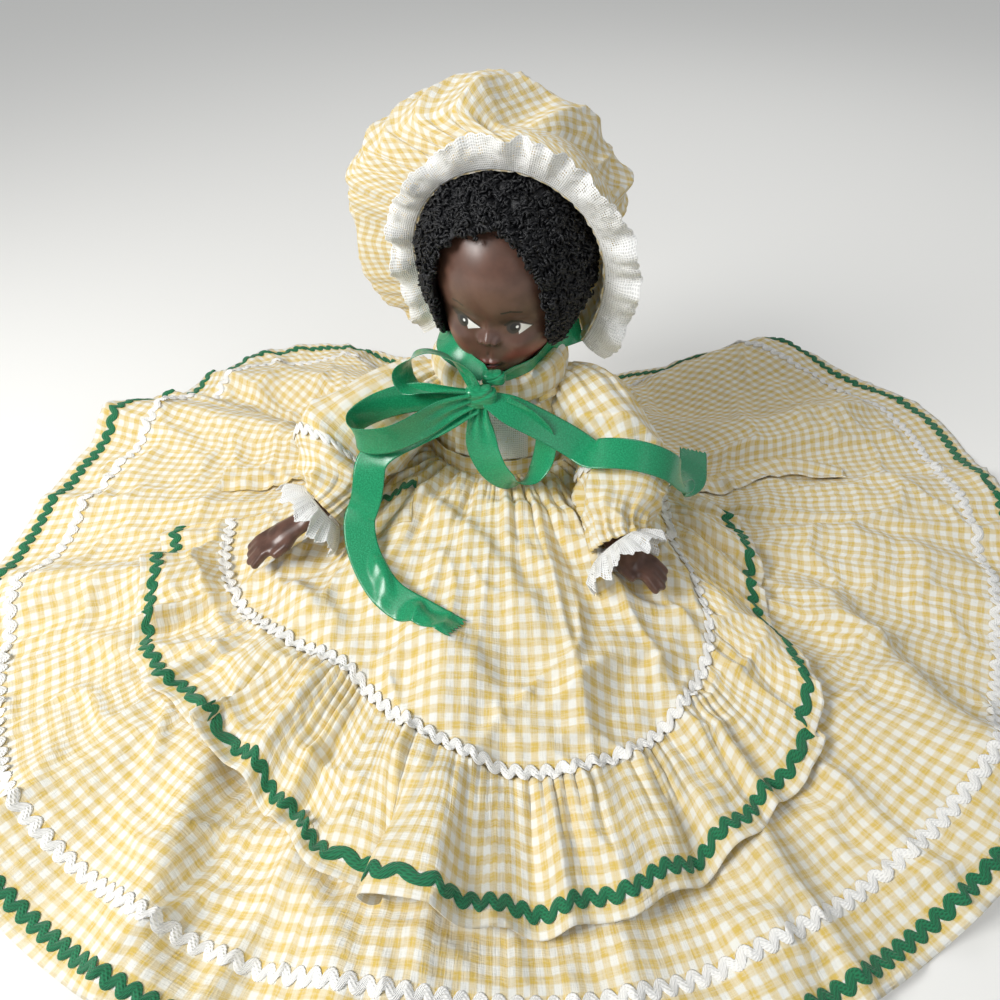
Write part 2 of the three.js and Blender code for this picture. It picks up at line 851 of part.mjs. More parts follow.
// The height of a sheet's top face over a place, or nothing where the sheet isn't.
function heightOver(grid, closed, x, y) {
  const columns = grid.length;
  for (let column = 0; column < (closed ? columns : columns - 1); column += 1) {
    const [left, right] = [grid[column], grid[(column + 1) % columns]];
    for (let row = 0; row < left.length - 1; row += 1) {
      const corners = [left[row], left[row + 1], right[row + 1], right[row]];
      for (const [a, b, c] of [
        [corners[0], corners[1], corners[2]],
        [corners[0], corners[2], corners[3]],
      ]) {
        const area = (b[0] - a[0]) * (c[1] - a[1]) - (c[0] - a[0]) * (b[1] - a[1]);
        const u = ((x - a[0]) * (c[1] - a[1]) - (c[0] - a[0]) * (y - a[1])) / area;
        const v = ((b[0] - a[0]) * (y - a[1]) - (x - a[0]) * (b[1] - a[1])) / area;
        if (u >= -1e-6 && v >= -1e-6 && u + v <= 1 + 1e-6)
          return a[2] + u * (b[2] - a[2]) + v * (c[2] - a[2]);
      }
    }
  }
  return 0;
}
const overSkirt = (x, y) => heightOver(skirtTop, true, x, y);

// Pinafore skirt: a gathered panel from the waistband, seamed to a ruffle round its edge.
const apronTurn = (share) => mix(apronStartDegrees, apronEndDegrees, share) * degrees;
const seamReach = (share) => apronReach * through(apronReachShares, share);
const ruffleReach = (share) => seamReach(share) + ruffleDepth * through(ruffleDepthShares, share);
function apronUnder(turn, radius) {
  const [x, y] = polar(turn, radius, 0);
  return overSkirt(x, y) + layerGap;
}
const apronGrid = (rise) =>
  counting(apronColumns, (column) => {
    const share = column / (apronColumns - 1);
    const turn = apronTurn(share);
    const start = bodiceEdge(turn);
    const seam = seamReach(share);
    const inner = seam - whiteTrimWidth;
    const rows = [...apronRowShares.map((part) => mix(start, inner, part)), inner, seam];
    return rows.map((radius, row) => {
      const swell = 0.5 + 0.5 * Math.cos(turn * apronPuffs);
      const puff = row ? apronPuff * swell * bump(row - puffRow, 0, puffRow, 1) : 0;
      const low = row ? apronUnder(turn, radius) : waistHeight + clothThickness - soleCut + seatGap;
      return polar(turn, radius, low + puff + rise);
    });
  });
const apronTop = apronGrid(clothThickness);
place("apron_panel", slab(apronTop, apronGrid(0)), "cloth");
const seamRow = apronTop[0].length - 2;
place("apron_white_rickrack", trim(apronTop, seamRow, seamRow + 1, false), "white_trim");

const ruffleColumns = ruffleGathers * ruffleSteps + 1;
const ruffleGrid = (rise) =>
  counting(ruffleColumns, (column) => {
    const share = column / (ruffleColumns - 1);
    const turn = apronTurn(share);
    const start = seamReach(share) + seamStep;
    const hem = ruffleReach(share);
    const trimOuter = hem - greenTrimInset;
    const rows = [start, mix(start, hem, 0.42), trimOuter - greenTrimWidth, trimOuter, hem];
    return rows.map((radius) => {
      const outward = (radius - start) / (hem - start);
      const gather = 0.5 - 0.5 * Math.cos((column / ruffleSteps) * 2 * Math.PI);
      const lift = ruffleLift * gather * (0.3 + 0.7 * ease(outward));
      return polar(turn, radius, apronUnder(turn, radius) + lift + rise);
    });
  });
const ruffleTop = ruffleGrid(clothThickness);
place("apron_ruffle", slab(ruffleTop, ruffleGrid(0)), "cloth");
place("apron_green_rickrack", trim(ruffleTop, 2, 3, false), "green_trim");

// Pocket on the panel, with a strip of green trim along its top.
const onPocket = (across, down, rise) => {
  const x = pocketPlace[0] + across - pocketWidth / 2;
  const y = pocketPlace[1] + pocketDepth / 2 - down;
  return [x, y, heightOver(apronTop, false, x, y) + seatGap * 2 + rise];
};
const pocketGrid = (from, to, rows, rise) =>
  counting(pocketSteps, (column) =>
    counting(rows, (row) =>
      onPocket(
        (column / (pocketSteps - 1)) * pocketWidth,
        mix(from, to, row / (rows - 1)),
        rise,
      ),
    ),
  );
const pocketTop = pocketGrid(0, pocketDepth, pocketSteps, clothThickness);
place("pocket", slab(pocketTop, pocketGrid(0, pocketDepth, pocketSteps, 0)), "cloth");
const pocketTrim = [pocketTrimInset, pocketTrimInset + pocketTrimWidth, 2];
const pocketTrimLow = clothThickness + seatGap * 2;
const pocketTrimTop = pocketGrid(...pocketTrim, pocketTrimLow + trimThickness);
place(
  "pocket_rickrack",
  slab(pocketTrimTop, pocketGrid(...pocketTrim, pocketTrimLow)),
  "green_trim",
);

// Waistband, bib, lace panel and shoulder straps, over the bodice.
const bandLow = waistHeight + 2 * clothThickness - soleCut + 2 * seatGap;
const bandGrid = (distance) =>
  counting(torsoSides, (step) => {
    const turn = (step / torsoSides) * 2 * Math.PI;
    return [0, 0.5, 1].map((share) => {
      const height = bandLow + share * waistbandWidth;
      const [x, y] = onBody(height / neckHeight, turn, distance);
      return [x, y, height];
    });
  });
place("waistband", slab(bandGrid(secondOutside), bandGrid(secondInside), true), "cloth");

const front = -Math.PI / 2;
const bibGrid = (distance, halfTurn, from, to) =>
  bodyGrid(
    rowsWithin(from, to),
    front - halfTurn * degrees,
    front + halfTurn * degrees,
    9,
    distance,
  );
const bandTopShare = (bandLow + waistbandWidth + seatGap) / neckHeight;
const bib = [bibHalfDegrees, Math.max(bibStartShare, bandTopShare), bibEndShare];
place("bib", slab(bibGrid(secondOutside, ...bib), bibGrid(secondInside, ...bib)), "cloth");
const laceOut = secondOutside + seatGap;
const bibLace = [bibLaceHalfDegrees, Math.max(bibStartShare, bandTopShare) + 0.02, bibEndShare - 0.02];
const laceFront = bibGrid(laceOut + laceThickness, ...bibLace);
place("bib_lace", slab(laceFront, bibGrid(laceOut, ...bibLace)), "lace");

// The height share, above the chest, at which the body is as wide as given.
function heightOfWidth(width) {
  let share = bibEndShare;
  while (profile(share)[0] > width && share < 1) share += 0.001;
  return share;
}
// A strap goes over the shoulder at a steady distance from the middle.
function strapPath(x, distance, steps, low) {
  const lowTurn = Math.acos(Math.abs(x) / profile(low)[0]);
  const topPart = 0.62;
  return counting(steps, (step) => {
    const share = step / (steps - 1);
    const over = share < topPart;
    const tilt = over ? mix(-lowTurn, lowTurn, share / topPart) : lowTurn;
    const height = over
      ? heightOfWidth(Math.abs(x) / Math.cos(tilt))
      : mix(low, bandTopShare, (share - topPart) / (1 - topPart));
    const reach = over ? tilt : Math.acos(Math.abs(x) / profile(height)[0]);
    return onBody(height, x < 0 ? Math.PI - reach : reach, distance);
  });
}
const strapLowShare = bibEndShare + seatGap / neckHeight;
const strapGrid = (sign, width, distance, low = strapLowShare) => {
  const lines = counting(strapLines, (line) => {
    const x = strapX + width * (line / (strapLines - 1) - 0.5);
    return strapPath(sign * x, distance, strapSteps, low);
  });
  return lines[0].map((_, step) => lines.map((points) => points[step]));
};
for (const [side, sign] of [
  ["left", -1],
  ["right", 1],
]) {
  const top = strapGrid(sign, strapWidth, secondOutside + strapRise);
  place(`strap_${side}`, slab(top, strapGrid(sign, strapWidth, secondInside + strapRise)), "cloth");
}
const collarInside = secondOutside + strapRise + seatGap;
const collarTop = collarGrid(collarInside + clothThickness);
place("collar", slab(collarTop, collarGrid(collarInside), true), "cloth");

// Buttons down the back of the bodice.
const lowButtonShare = bandTopShare + (buttonRadius + seatGap) / neckHeight;
const highButtonShare = bibEndShare - buttonRadius / neckHeight;
buttonUpShares.forEach((up, index) => {
  const share = mix(lowButtonShare, highButtonShare, up);
  const low = onBody(share, Math.PI / 2, bodiceOutside + seatGap * 2);
  const high = onBody(share, Math.PI / 2, bodiceOutside + seatGap * 2 + buttonThickness);
  const facingOut = new THREE.Vector3(...add(high, low, -1)).normalize();
  const turnOut = new THREE.Quaternion().setFromUnitVectors(new THREE.Vector3(0, 1, 0), facingOut);
  const disc = new THREE.CylinderGeometry(buttonRadius, buttonRadius, buttonThickness, 14)
    .applyQuaternion(turnOut)
    .translate(...between(low, high, 0.5));
  place(`back_button_${index + 1}`, disc, "button");
});

// Ties of the pinafore, loose on the skirt.
function tie(route, steps) {
  const places = counting(steps, (step) => {
    const share = step / (steps - 1);
    const at = along(route, share);
    const ahead = wayAt(route, share);
    const side = unit([-ahead[1], ahead[0], 0]);
    return [-1, 0, 1].map((edge) => add(at, side, (edge * tieWidth) / 2));
  });
  const grid = (rise) =>
    places.map((column) => column.map(([x, y]) => [x, y, overSkirt(x, y) + layerGap + rise]));
  return slab(grid(clothThickness), grid(0));
}
const rightTieRoute = [
  [50, 3, 0],
  [84, -2, 0],
  [118, 4, 0],
  [150, 17, 0],
  [176, 26, 0],
  [206, 16, 0],
];
const leftTieRoute = [
  [-50, 4, 0],
  [-88, 8, 0],
  [-126, 9, 0],
  [-162, 6, 0],
];
place("waist_tie_right", tie(rightTieRoute, 14), "cloth");
place("waist_tie_left", tie(leftTieRoute, 11), "cloth");

// Arms: a stuffed upper arm tied to a moulded forearm and hand, in a long puffed sleeve.
const strapRoom = (sign) =>
  toSolid(
    slab(
      strapGrid(sign, strapWidth * roomShare, secondOutside + strapRise + seatGap * 2, armholeShare),
      strapGrid(sign, strapWidth * roomShare, bodiceInside, armholeShare),
    ),
  );
const sleeveRoom = toSolid(
  loft(
    torsoShares.map(([share]) =>
      bodyRing(share, (share > armholeShare ? bodiceOutside : secondOutside) + seatGap),
    ),
  ),
)
  .add(strapRoom(-1))
  .add(strapRoom(1));
const trimRows = (grid, row) =>
  lifted(
    grid.map((column) => column.slice(row, row + 2)),
    seatGap + trimThickness,
  );
const lapSheets = [
  apronTop,
  ruffleTop,
  trimRows(apronTop, seamRow),
  trimRows(ruffleTop, 2),
  pocketTop,
  pocketTrimTop,
];
const lapHeight = (x, y) =>
  Math.max(overSkirt(x, y), ...lapSheets.map((sheet) => heightOver(sheet, false, x, y)));
// A place kept a little above the lap.
const overLap = ([x, y, z], rise) => [x, y, Math.max(z, lapHeight(x, y) + lapGap + rise)];
// Two halves of a limb, cut square to it with a gap between them.
function cutLimb(inner, outer, centre, way) {
  const at = dot(centre, way);
  const kept = inner.trimByPlane(
    way.map((value) => -value),
    -at,
  );
  return [kept, outer.trimByPlane(way, at + seatGap)];
}
// From the wrist to the roots of the fingers.
const palmReach = (wrist, tip) =>
  Math.hypot(...add(tip, wrist, -1)) - fingerLength * fingerReachShare;
const armCurve = ([shoulder, elbow, wrist, tip]) => [
  shoulder,
  elbow,
  between(elbow, wrist, 0.5),
  wrist,
  add(wrist, unit(add(tip, wrist, -1)), palmReach(wrist, tip)),
];
// Shares of the whole arm at which the sleeve has its sections, with their radii.
const sleeveSections = [
  [0.01, sleeveHeadRadius * 0.86],
  [0.08, sleeveHeadRadius],
  [0.18, sleevePuffRadius * 1.04],
  [0.31, sleevePuffRadius],
  [0.49, sleevePuffRadius * 0.94],
  [0.63, sleevePuffRadius * 0.72],
  [0.7, cuffRadius + clothThickness],
  [wristShare, cuffRadius],
];
const sleeveRadius = (share) => {
  const upper = clamp(
    sleeveSections.findIndex(([at]) => at >= share),
    1,
    sleeveSections.length - 1,
  );
  const [a, b] = [sleeveSections[upper - 1], sleeveSections[upper]];
  return mix(a[1], b[1], clamp((share - a[0]) / (b[0] - a[0]), 0, 1));
};
for (const side of ["left", "right"]) {
  const [shoulder, , wrist, tip] = armPlaces[side];
  const curve = armCurve(armPlaces[side]);
  const palmEnd = curve[4];
  const handWay = unit(add(tip, wrist, -1));
  const upperBlank = toSolid(ball(shoulder, armBallRadius)).add(
    toSolid(
      limb(
        curve,
        [
          [0.03, upperArmRadius * 0.9],
          [0.1, upperArmRadius],
          [0.17, upperArmRadius],
          [0.2, forearmRadius],
          [0.25, forearmRadius * 0.88],
        ],
        12,
      ),
    ),
  );
  const forearmBlank = toSolid(
    limb(
      curve,
      [
        [0.2, forearmRadius * 0.88],
        [0.3, forearmRadius],
        [0.45, forearmRadius * 0.95],
        [0.62, wristRadius * 1.08],
        [0.7, wristRadius],
        [0.77, wristRadius],
        [0.86, palmWidth * 0.42, palmThickness / palmWidth],
        [0.94, palmWidth / 2, palmThickness / palmWidth],
        [1, palmWidth * 0.46, (palmThickness / palmWidth) * 0.8],
      ],
      12,
    ),
  );
  const elbowAt = along(curve, elbowShare);
  const elbowWay = wayAt(curve, elbowShare);
  const [upper, forearm] = cutLimb(upperBlank, forearmBlank, elbowAt, elbowWay);
  place(`upper_arm_${side}`, toGeometry(upper), "body");

  const { side: across, up } = frameOf(handWay);
  const thumbSide = across[1] > 0 ? 1 : -1;
  const fingers = counting(4, (finger) => {
    const spread = (finger - 1.5) / 1.5;
    const root = add(add(palmEnd, across, spread * palmWidth * 0.36), handWay, -fingerRadius * 2);
    const length = fingerLength * (1 - 0.12 * Math.abs(spread + thumbSide * 0.3));
    const knuckle = add(add(root, handWay, length * 0.55), up, fingerRadius * 0.3);
    const end = add(add(root, handWay, length), up, -fingerRadius * 0.9);
    return toSolid(
      limb(
        [root, knuckle, add(end, across, spread * fingerRadius * 0.5)],
        [
          [0, fingerRadius],
          [0.5, fingerRadius * 1.02],
          [0.9, fingerRadius * 0.82],
          [1, fingerRadius * 0.5],
        ],
        6,
      ),
    );
  });
  const thumbRoot = add(add(palmEnd, handWay, -palmWidth * 0.75), across, -thumbSide * palmWidth * 0.3);
  const thumbBend = add(
    add(thumbRoot, handWay, thumbLength * 0.45),
    across,
    -thumbSide * palmWidth * 0.3,
  );
  const thumbEnd = add(
    add(thumbBend, handWay, thumbLength * 0.6),
    across,
    -thumbSide * fingerRadius * 0.4,
  );
  fingers.push(
    toSolid(
      limb(
        [thumbRoot, thumbBend, thumbEnd],
        [
          [0, fingerRadius * 1.2],
          [0.5, fingerRadius * 1.15],
          [0.9, fingerRadius * 0.95],
          [1, fingerRadius * 0.55],
        ],
        6,
      ),
    ),
  );
  place(
    `forearm_${side}`,
    toGeometry(fingers.reduce((whole, finger) => whole.add(finger), forearm)),
    "skin",
  );

  const tieTurn = new THREE.Quaternion().setFromUnitVectors(
    new THREE.Vector3(0, 0, 1),
    new THREE.Vector3(...elbowWay),
  );
  place(
    `elbow_tie_${side}`,
    new THREE.TorusGeometry(forearmRadius + seatGap + tieCordRadius, tieCordRadius, 5, 12)
      .applyQuaternion(tieTurn)
      .translate(...add(elbowAt, elbowWay, -tieCordRadius * 2)),
    "cord",
  );

  // The sleeve puffs between the armhole and a gathered cuff, and rests on the lap where it reaches it.
  const sleeveRings = (inset) =>
    limbRings(
      curve,
      sleeveSections.map(([share, radius]) => [share, radius - inset]),
      14,
    ).map((ring) => ring.map((point) => overLap(point, inset)));
  const shell = (rings, inner) =>
    slab(
      rings[0].map((_, step) => rings.map((ring) => ring[step])),
      inner[0].map((_, step) => inner.map((ring) => ring[step])),
      true,
    );
  const sleeve = toSolid(shell(sleeveRings(0), sleeveRings(clothThickness))).subtract(sleeveRoom);
  place(`sleeve_${side}`, toGeometry(sleeve), "cloth");

  const bandRings = (distance) =>
    limbRings(
      curve,
      sleeveBandShares.map((share) => [share, sleeveRadius(share) + distance]),
      14,
    ).map((ring) => ring.map((point) => overLap(point, -distance)));
  place(
    `sleeve_rickrack_${side}`,
    shell(bandRings(sleeveBandGap + trimThickness), bandRings(sleeveBandGap)),
    "white_trim",
  );

  // Lace round the wrist.
  const wristWay = wayAt(curve, wristShare);
  const laceWay = unit(add(wristWay, handWay));
  const laceEnd = add(wrist, wristWay, seatGap);
  const laceTip = add(laceEnd, laceWay, cuffLaceReach);
  const waveOf = (turn) => cuffLaceWave * Math.sin(turn * cuffLaceWaves);
  const cuffGrid = (rise) => {
    const inner = ringAt(laceEnd, wristWay, cuffRadius, cuffRadius, 20);
    const outer = ringAt(laceTip, laceWay, cuffLaceRadius, cuffLaceRadius * 0.8, 20, waveOf);
    return inner.map((point, step) =>
      [0, 0.5, 1].map((share) =>
        overLap(add(between(point, outer[step], share), wristWay, rise), rise),
      ),
    );
  };
  place(`cuff_lace_${side}`, slab(cuffGrid(laceThickness), cuffGrid(0), true), "lace");
}

// Legs: a stuffed thigh tied to a moulded lower leg and foot.
for (const side of ["left", "right"]) {
  const [hip, knee, ankle, toe] = legPlaces[side];
  const legCurve = [hip, between(hip, knee, 0.5), knee, between(knee, ankle, 0.5), ankle, toe];
  const thighBlank = toSolid(ball(hip, hipBallRadius)).add(
    toSolid(
      limb(
        legCurve,
        [
          [0.04, thighRadius * 0.9],
          [0.2, thighRadius],
          [0.32, kneeRadius],
          [0.4, kneeRadius * 0.86],
        ],
        12,
      ),
    ),
  );
  const lowerBlank = toSolid(
    limb(
      legCurve,
      [
        [0.3, kneeRadius * 0.86],
        [0.4, kneeRadius],
        [0.55, calfRadius],
        [0.68, calfRadius * 0.84],
        [0.78, ankleRadius],
        [0.86, footRadius],
        [0.95, footRadius * 0.94],
        [0.98, footRadius * 0.7],
        [1, footRadius * 0.3],
      ],
      12,
    ),
  );
  const kneeAt = along(legCurve, kneeShare);
  const way = wayAt(legCurve, kneeShare);
  const [thigh, lower] = cutLimb(thighBlank, lowerBlank, kneeAt, way);
  place(`thigh_${side}`, toGeometry(thigh), "body");
  place(`lower_leg_${side}`, toGeometry(lower), "skin");
  const tieTurn = new THREE.Quaternion().setFromUnitVectors(
    new THREE.Vector3(0, 0, 1),
    new THREE.Vector3(...way),
  );
  place(
    `knee_tie_${side}`,
    new THREE.TorusGeometry(kneeRadius + seatGap + tieCordRadius, tieCordRadius, 5, 12)
      .applyQuaternion(tieTurn)
      .translate(...add(kneeAt, way, -tieCordRadius * 3)),
    "cord",
  );
}

// Ribbon: straps from the brim to the chin knot, and a bow with loops and tails under it.
const knot = (centre, [width, depth, height]) =>
  new THREE.SphereGeometry(1, 14, 8).scale(width / 2, depth / 2, height / 2).translate(...centre);
place("chin_knot", knot(chinKnotPlace, chinKnotSize), "ribbon");
place("bow_knot", knot(bowKnotPlace, bowKnotSize), "ribbon");

headParts.updateMatrixWorld(true);
for (const [side, sign, turn] of [
  ["left", -1, Math.PI - brimEndTurn],
  ["right", 1, brimEndTurn],
]) {
  const onBrim = openingPoint(turn, (brimFront + brimBack) / 2, -strapInside);
  const root = new THREE.Vector3(onBrim[0], onBrim[1], onBrim[2] - seatGap * 5)
    .applyMatrix4(headParts.matrixWorld)
    .toArray();
  const end = add(chinKnotPlace, [sign * (chinKnotSize[0] / 2 + seatGap * 2), 0, 0]);
  const strapFacing = unit([sign * 0.35, 0.1, 0.93]);
  const belly = add(between(root, end, 0.55), [sign * chinStrapOut, -chinStrapForward, chinStrapRise]);
  const route = [root, belly, end];
  const places = counting(9, (step) => {
    const share = step / 8;
    return {
      at: along(route, share),
      across: unit(between(strapFacing, tailFacing, share)),
      width: mix((brimBack - brimFront) * 0.8, chinKnotSize[2] * 0.7, share),
    };
  });
  place(`chin_strap_${side}`, ribbon(places), "ribbon");
}

// A bow loop runs out from the knot, folds at its tip and comes back beneath.
function bowLoop(root, tip, opening, across) {
  const way = add(tip, root, -1);
  const normal = unit(cross(unit(way), across));
  const steps = 14;
  const places = counting(steps, (step) => {
    const turn = (step / steps) * 2 * Math.PI;
    const share = 0.5 - 0.5 * Math.cos(turn);
    const lift = (Math.sin(turn) * opening * (0.35 + 0.65 * share)) / 2;
    const width = mix(ribbonWidth * 0.55, ribbonWidth, ease(share * 2));
    return { at: add(add(root, way, share), normal, lift), across, width };
  });
  return ribbon(places, true);
}
const knotSide = bowKnotSize[0] / 2 + seatGap + ribbonThickness;
const knotDrop = bowKnotSize[2] / 2 + seatGap + ribbonThickness;
place(
  "bow_loop_left",
  bowLoop(
    add(bowKnotPlace, [-knotSide, 0, 0]),
    add(bowKnotPlace, leftLoopReach),
    leftLoopOpening,
    unit([-0.28, 0.66, 0.7]),
  ),
  "ribbon",
);
place(
  "bow_loop_drop",
  bowLoop(
    add(bowKnotPlace, [0, -ribbonThickness, -knotDrop]),
    add(bowKnotPlace, dropLoopReach),
    dropLoopOpening,
    unit([0.8, 0.4, 0.42]),
  ),
  "ribbon",
);
place(
  "bow_loop_arch",
  bowLoop(
    add(bowKnotPlace, [-knotSide * 0.6, 0, knotDrop * 0.72]),
    add(bowKnotPlace, archLoopReach),
    archLoopOpening,
    unit([0.1, -0.9, 0.3]),
  ),
  "ribbon",
);

// A tail hangs from the knot and lies on what is under it.
function tail(route, steps) {
  const grid = (rise) =>
    counting(steps, (step) => {
      const share = step / (steps - 1);
      const flat = unit(cross(wayAt(route, share), tailFacing));
      const width = mix(ribbonWidth * 0.6, ribbonWidth, ease(share * 6));
      return [-0.5, -0.17, 0.17, 0.5].map((part) => {
        const bare = add(add(along(route, share), flat, part * width), tailFacing, rise);
        return overLap(clearOfSleeves(bare, rise), rise);
      });
    });
  return slab(grid(ribbonThickness), grid(0));
}
// A place pushed out of the sleeves and a little way off them.
function clearOfSleeves(point, rise) {
  return ["left", "right"].reduce((held, side) => {
    const curve = armCurve(armPlaces[side]);
    const spots = counting(40, (step) => (step / 39) * wristShare);
    const [share] = spots
      .map((at) => [at, Math.hypot(...add(held, along(curve, at), -1))])
      .reduce((best, next) => (next[1] < best[1] ? next : best));
    const centre = along(curve, share);
    const away = add(held, centre, -1);
    const needed = sleeveRadius(share) + tailClearance + rise;
    return Math.hypot(...away) < needed ? add(centre, unit(away), needed) : held;
  }, point);
}
place("ribbon_tail_left", tail(leftTailRoute, 17), "ribbon");
place("ribbon_tail_right", tail(rightTailRoute, 15), "ribbon");

export default parts;
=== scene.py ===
"""A sitting baby doll in a gathered gingham dress, pinafore and bonnet.

Each operator builds one group of pieces over the doll's solids. Places and sizes are in
millimetres in the part's own frame: +Z up, the doll looks along -Y. mesh_piece() turns
them into metres.
"""
import math

import bpy
import numpy as np
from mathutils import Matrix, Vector


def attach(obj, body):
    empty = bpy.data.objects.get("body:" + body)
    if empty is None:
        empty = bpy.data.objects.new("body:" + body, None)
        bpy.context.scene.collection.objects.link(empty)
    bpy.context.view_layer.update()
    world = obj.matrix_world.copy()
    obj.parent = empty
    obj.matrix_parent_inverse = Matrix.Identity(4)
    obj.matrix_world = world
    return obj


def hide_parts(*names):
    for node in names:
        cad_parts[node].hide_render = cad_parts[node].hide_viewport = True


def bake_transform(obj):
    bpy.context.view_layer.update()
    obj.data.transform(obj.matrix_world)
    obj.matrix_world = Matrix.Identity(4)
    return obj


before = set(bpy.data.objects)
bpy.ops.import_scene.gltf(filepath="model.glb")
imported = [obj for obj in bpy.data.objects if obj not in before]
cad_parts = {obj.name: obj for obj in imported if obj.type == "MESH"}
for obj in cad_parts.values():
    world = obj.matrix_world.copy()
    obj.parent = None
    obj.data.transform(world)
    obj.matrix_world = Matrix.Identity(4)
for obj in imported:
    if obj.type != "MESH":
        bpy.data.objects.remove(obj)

bl_info = {
    "name": "Gingham baby doll",
    "version": (1, 0, 0),
    "blender": (4, 5, 0),
    "location": "3D View > Sidebar > Doll",
    "description": "Builds a sitting baby doll in a gathered gingham dress, pinafore and bonnet",
    "category": "Add Mesh",
}

MM = 0.001
FULL = 2 * math.pi
SIDES = (("left", -1), ("right", 1))
NOISE_CELLS = 64

# Thicknesses of trims, where they aren't the cloth's
BRAID_THICKNESS = 0.35
LACE_THICKNESS = 0.3
RIBBON_THICKNESS = 0.25
CASING_THICKNESS = 1.0

# Clothed body, from the seat to the neck
HIP_WIDTH = 76
HIP_DEPTH = 68
NECK_HEIGHT = 97
# Shares of its width and depth at shares of its height
TORSO_SHARES = np.array([
    (0, 0.76, 0.74), (0.07, 0.93, 0.92), (0.22, 1, 1), (0.46, 0.91, 0.92),
    (0.66, 0.9, 0.88), (0.82, 0.86, 0.76), (0.91, 0.68, 0.62), (0.96, 0.47, 0.48),
    (1, 0.42, 0.46),
])
BODICE_LOW = 0.455
BODICE_HIGH = 0.945
BODICE_OUT = 1.75
SECOND_OUT = 3.5

# Head and what is on it, in the head's own frame
HEAD_PLACE = (4, 8, 147)
HEAD_TURN = math.radians(-15)
HEAD_NOD = math.radians(12)
HEAD_WIDTH = 70
HEAD_DEPTH = 80
HEAD_TOP = 40
HEAD_BOTTOM = 43
JAW_TAPER = 0.07
EYE_SPACING = 25
EYE_HEIGHT = -11
NOSE_HEIGHT = -15
CHEEK_HEIGHT = -24
MOUTH_HEIGHT = -30.2
CHIN_HEIGHT = -39
JAW_START = 0.2
JAW_FORWARD = 15
FOREHEAD_HEIGHT = 18
# Rings of the neck, from below: radius and height
NECK_RINGS = ((13.2, 84.2), (13.2, 87), (11, 87.2), (11, 120))
OPENING_WIDTH = 44
OPENING_HIGH = 47
OPENING_LOW = 62
OPENING_X = 2
BRIM_FRONT = -9
BRIM_BACK = 2
BRIM_END = math.asin(-37 / OPENING_LOW)
CROWN_DEPTH = 84
CROWN_WIDTH = 69
CROWN_HEIGHT = 63
CROWN_PEAK = 6
CROWN_SHIFT = -26
# How wide, high and loose the crown is at shares of its depth
CROWN_SHARES = np.array([
    (0, 0.64, 0.75, 0.3), (0.07, 0.77, 0.86, 0.5), (0.17, 0.92, 0.96, 0.85),
    (0.32, 1, 1, 1), (0.5, 0.98, 0.96, 0.85), (0.68, 0.84, 0.82, 0.6),
    (0.83, 0.62, 0.6, 0.4), (0.94, 0.36, 0.34, 0.25), (1, 0.02, 0.02, 0),
])
NAPE_GAP = 0.72

# Painted face, on the head's flat map
NOSE_X = 0.6
EYE_SPOTS = {"left": (-13, -11), "right": (11, -11)}
EYE_GLINTS = {"left": 0.9, "right": 1.6}
EYE_SMUDGES = {"left": 0.85, "right": 0.35}
EYE_WHITES = {
    "left": [(1.0, 2.2), (9.4, -1.0), (2.8, -3.5)],
    "right": [(1.4, 2.2), (7.8, -0.8), (2.4, -3.6)],
}
BROWS = {
    "left": [((-16.2, 0.2), (-13.8, 0.5)), ((-13.8, 0.5), (-11.2, -0.5))],
    "right": [((6.8, -1.2), (10.6, -0.4)), ((10.6, -0.4), (15.0, -1.7))],
}
CHEEK_SPOTS = {"left": (-20, -27), "right": (17, -28)}
CHEEK_SIZE = (9, 7)
LIP_SPOT = (-0.6, -30.6)
LIP_LINE = [(-5.4, -0.9), (-2.4, 0.1), (0, -0.3), (2.4, 0.1), (5.4, -0.9)]

# Skirt and pinafore, measured from the middle of the waist
SKIRT_REACH = 290
# Reach of the hem round the doll, from +X by way of +Y
SKIRT_SHARES = (
    1, 1.02, 0.77, 0.51, 0.45, 0.455, 0.55, 0.8, 0.83, 0.89, 0.98, 1.02, 1, 0.98, 0.98, 0.98, 1, 1
)
WAIST_HEIGHT = 46
FRONT_TENT = 236
SIDE_TENT = 128
TENT_POWER = 1.1
TENT_FOCUS = 5
FOLD_HEIGHT = 12.5
FOLDS = 8
FOLD_PHASE = 0.55
CLOTH_UNDER = 0.9
SKIRT_COLUMNS = 620
SKIRT_ROWS = 110
TRIM_STEP = 0.45
# How far inside a hem its rickrack lies
WHITE_INSET = 28
GREEN_INSET = 7.7
# Single folds: where each starts and ends, half its width and its height
SKIRT_FOLDS = (
    ((-100, 30), (-262, 62), 24, 17), ((-58, 66), (-200, 124), 19, 14),
    ((-20, 70), (-90, 150), 17, 9), ((84, 52), (250, 84), 18, 11),
    ((52, 72), (214, 138), 14, 12), ((140, -30), (268, -70), 15, 8),
    ((150, -70), (222, -196), 17, 10), ((-128, -150), (-116, -268), 17, 10),
    ((-76, -190), (-52, -284), 14, 6), ((90, -196), (112, -276), 17, 7),
    ((-150, -60), (-262, -96), 17, 9),
)
PANEL_FOLDS = (
    ((-74, -62), (-8, -150), 12, 5.5), ((-40, -48), (30, -128), 9, 3.5),
    ((34, -74), (92, -92), 6, 4.5), ((44, -92), (100, -112), 6, 4),
    ((-8, -52), (44, -70), 7, 4), ((-106, -84), (-60, -140), 10, 4.5),
    ((60, -120), (24, -160), 12, 4), ((-30, -42), (-62, -96), 7, 3.5),
)
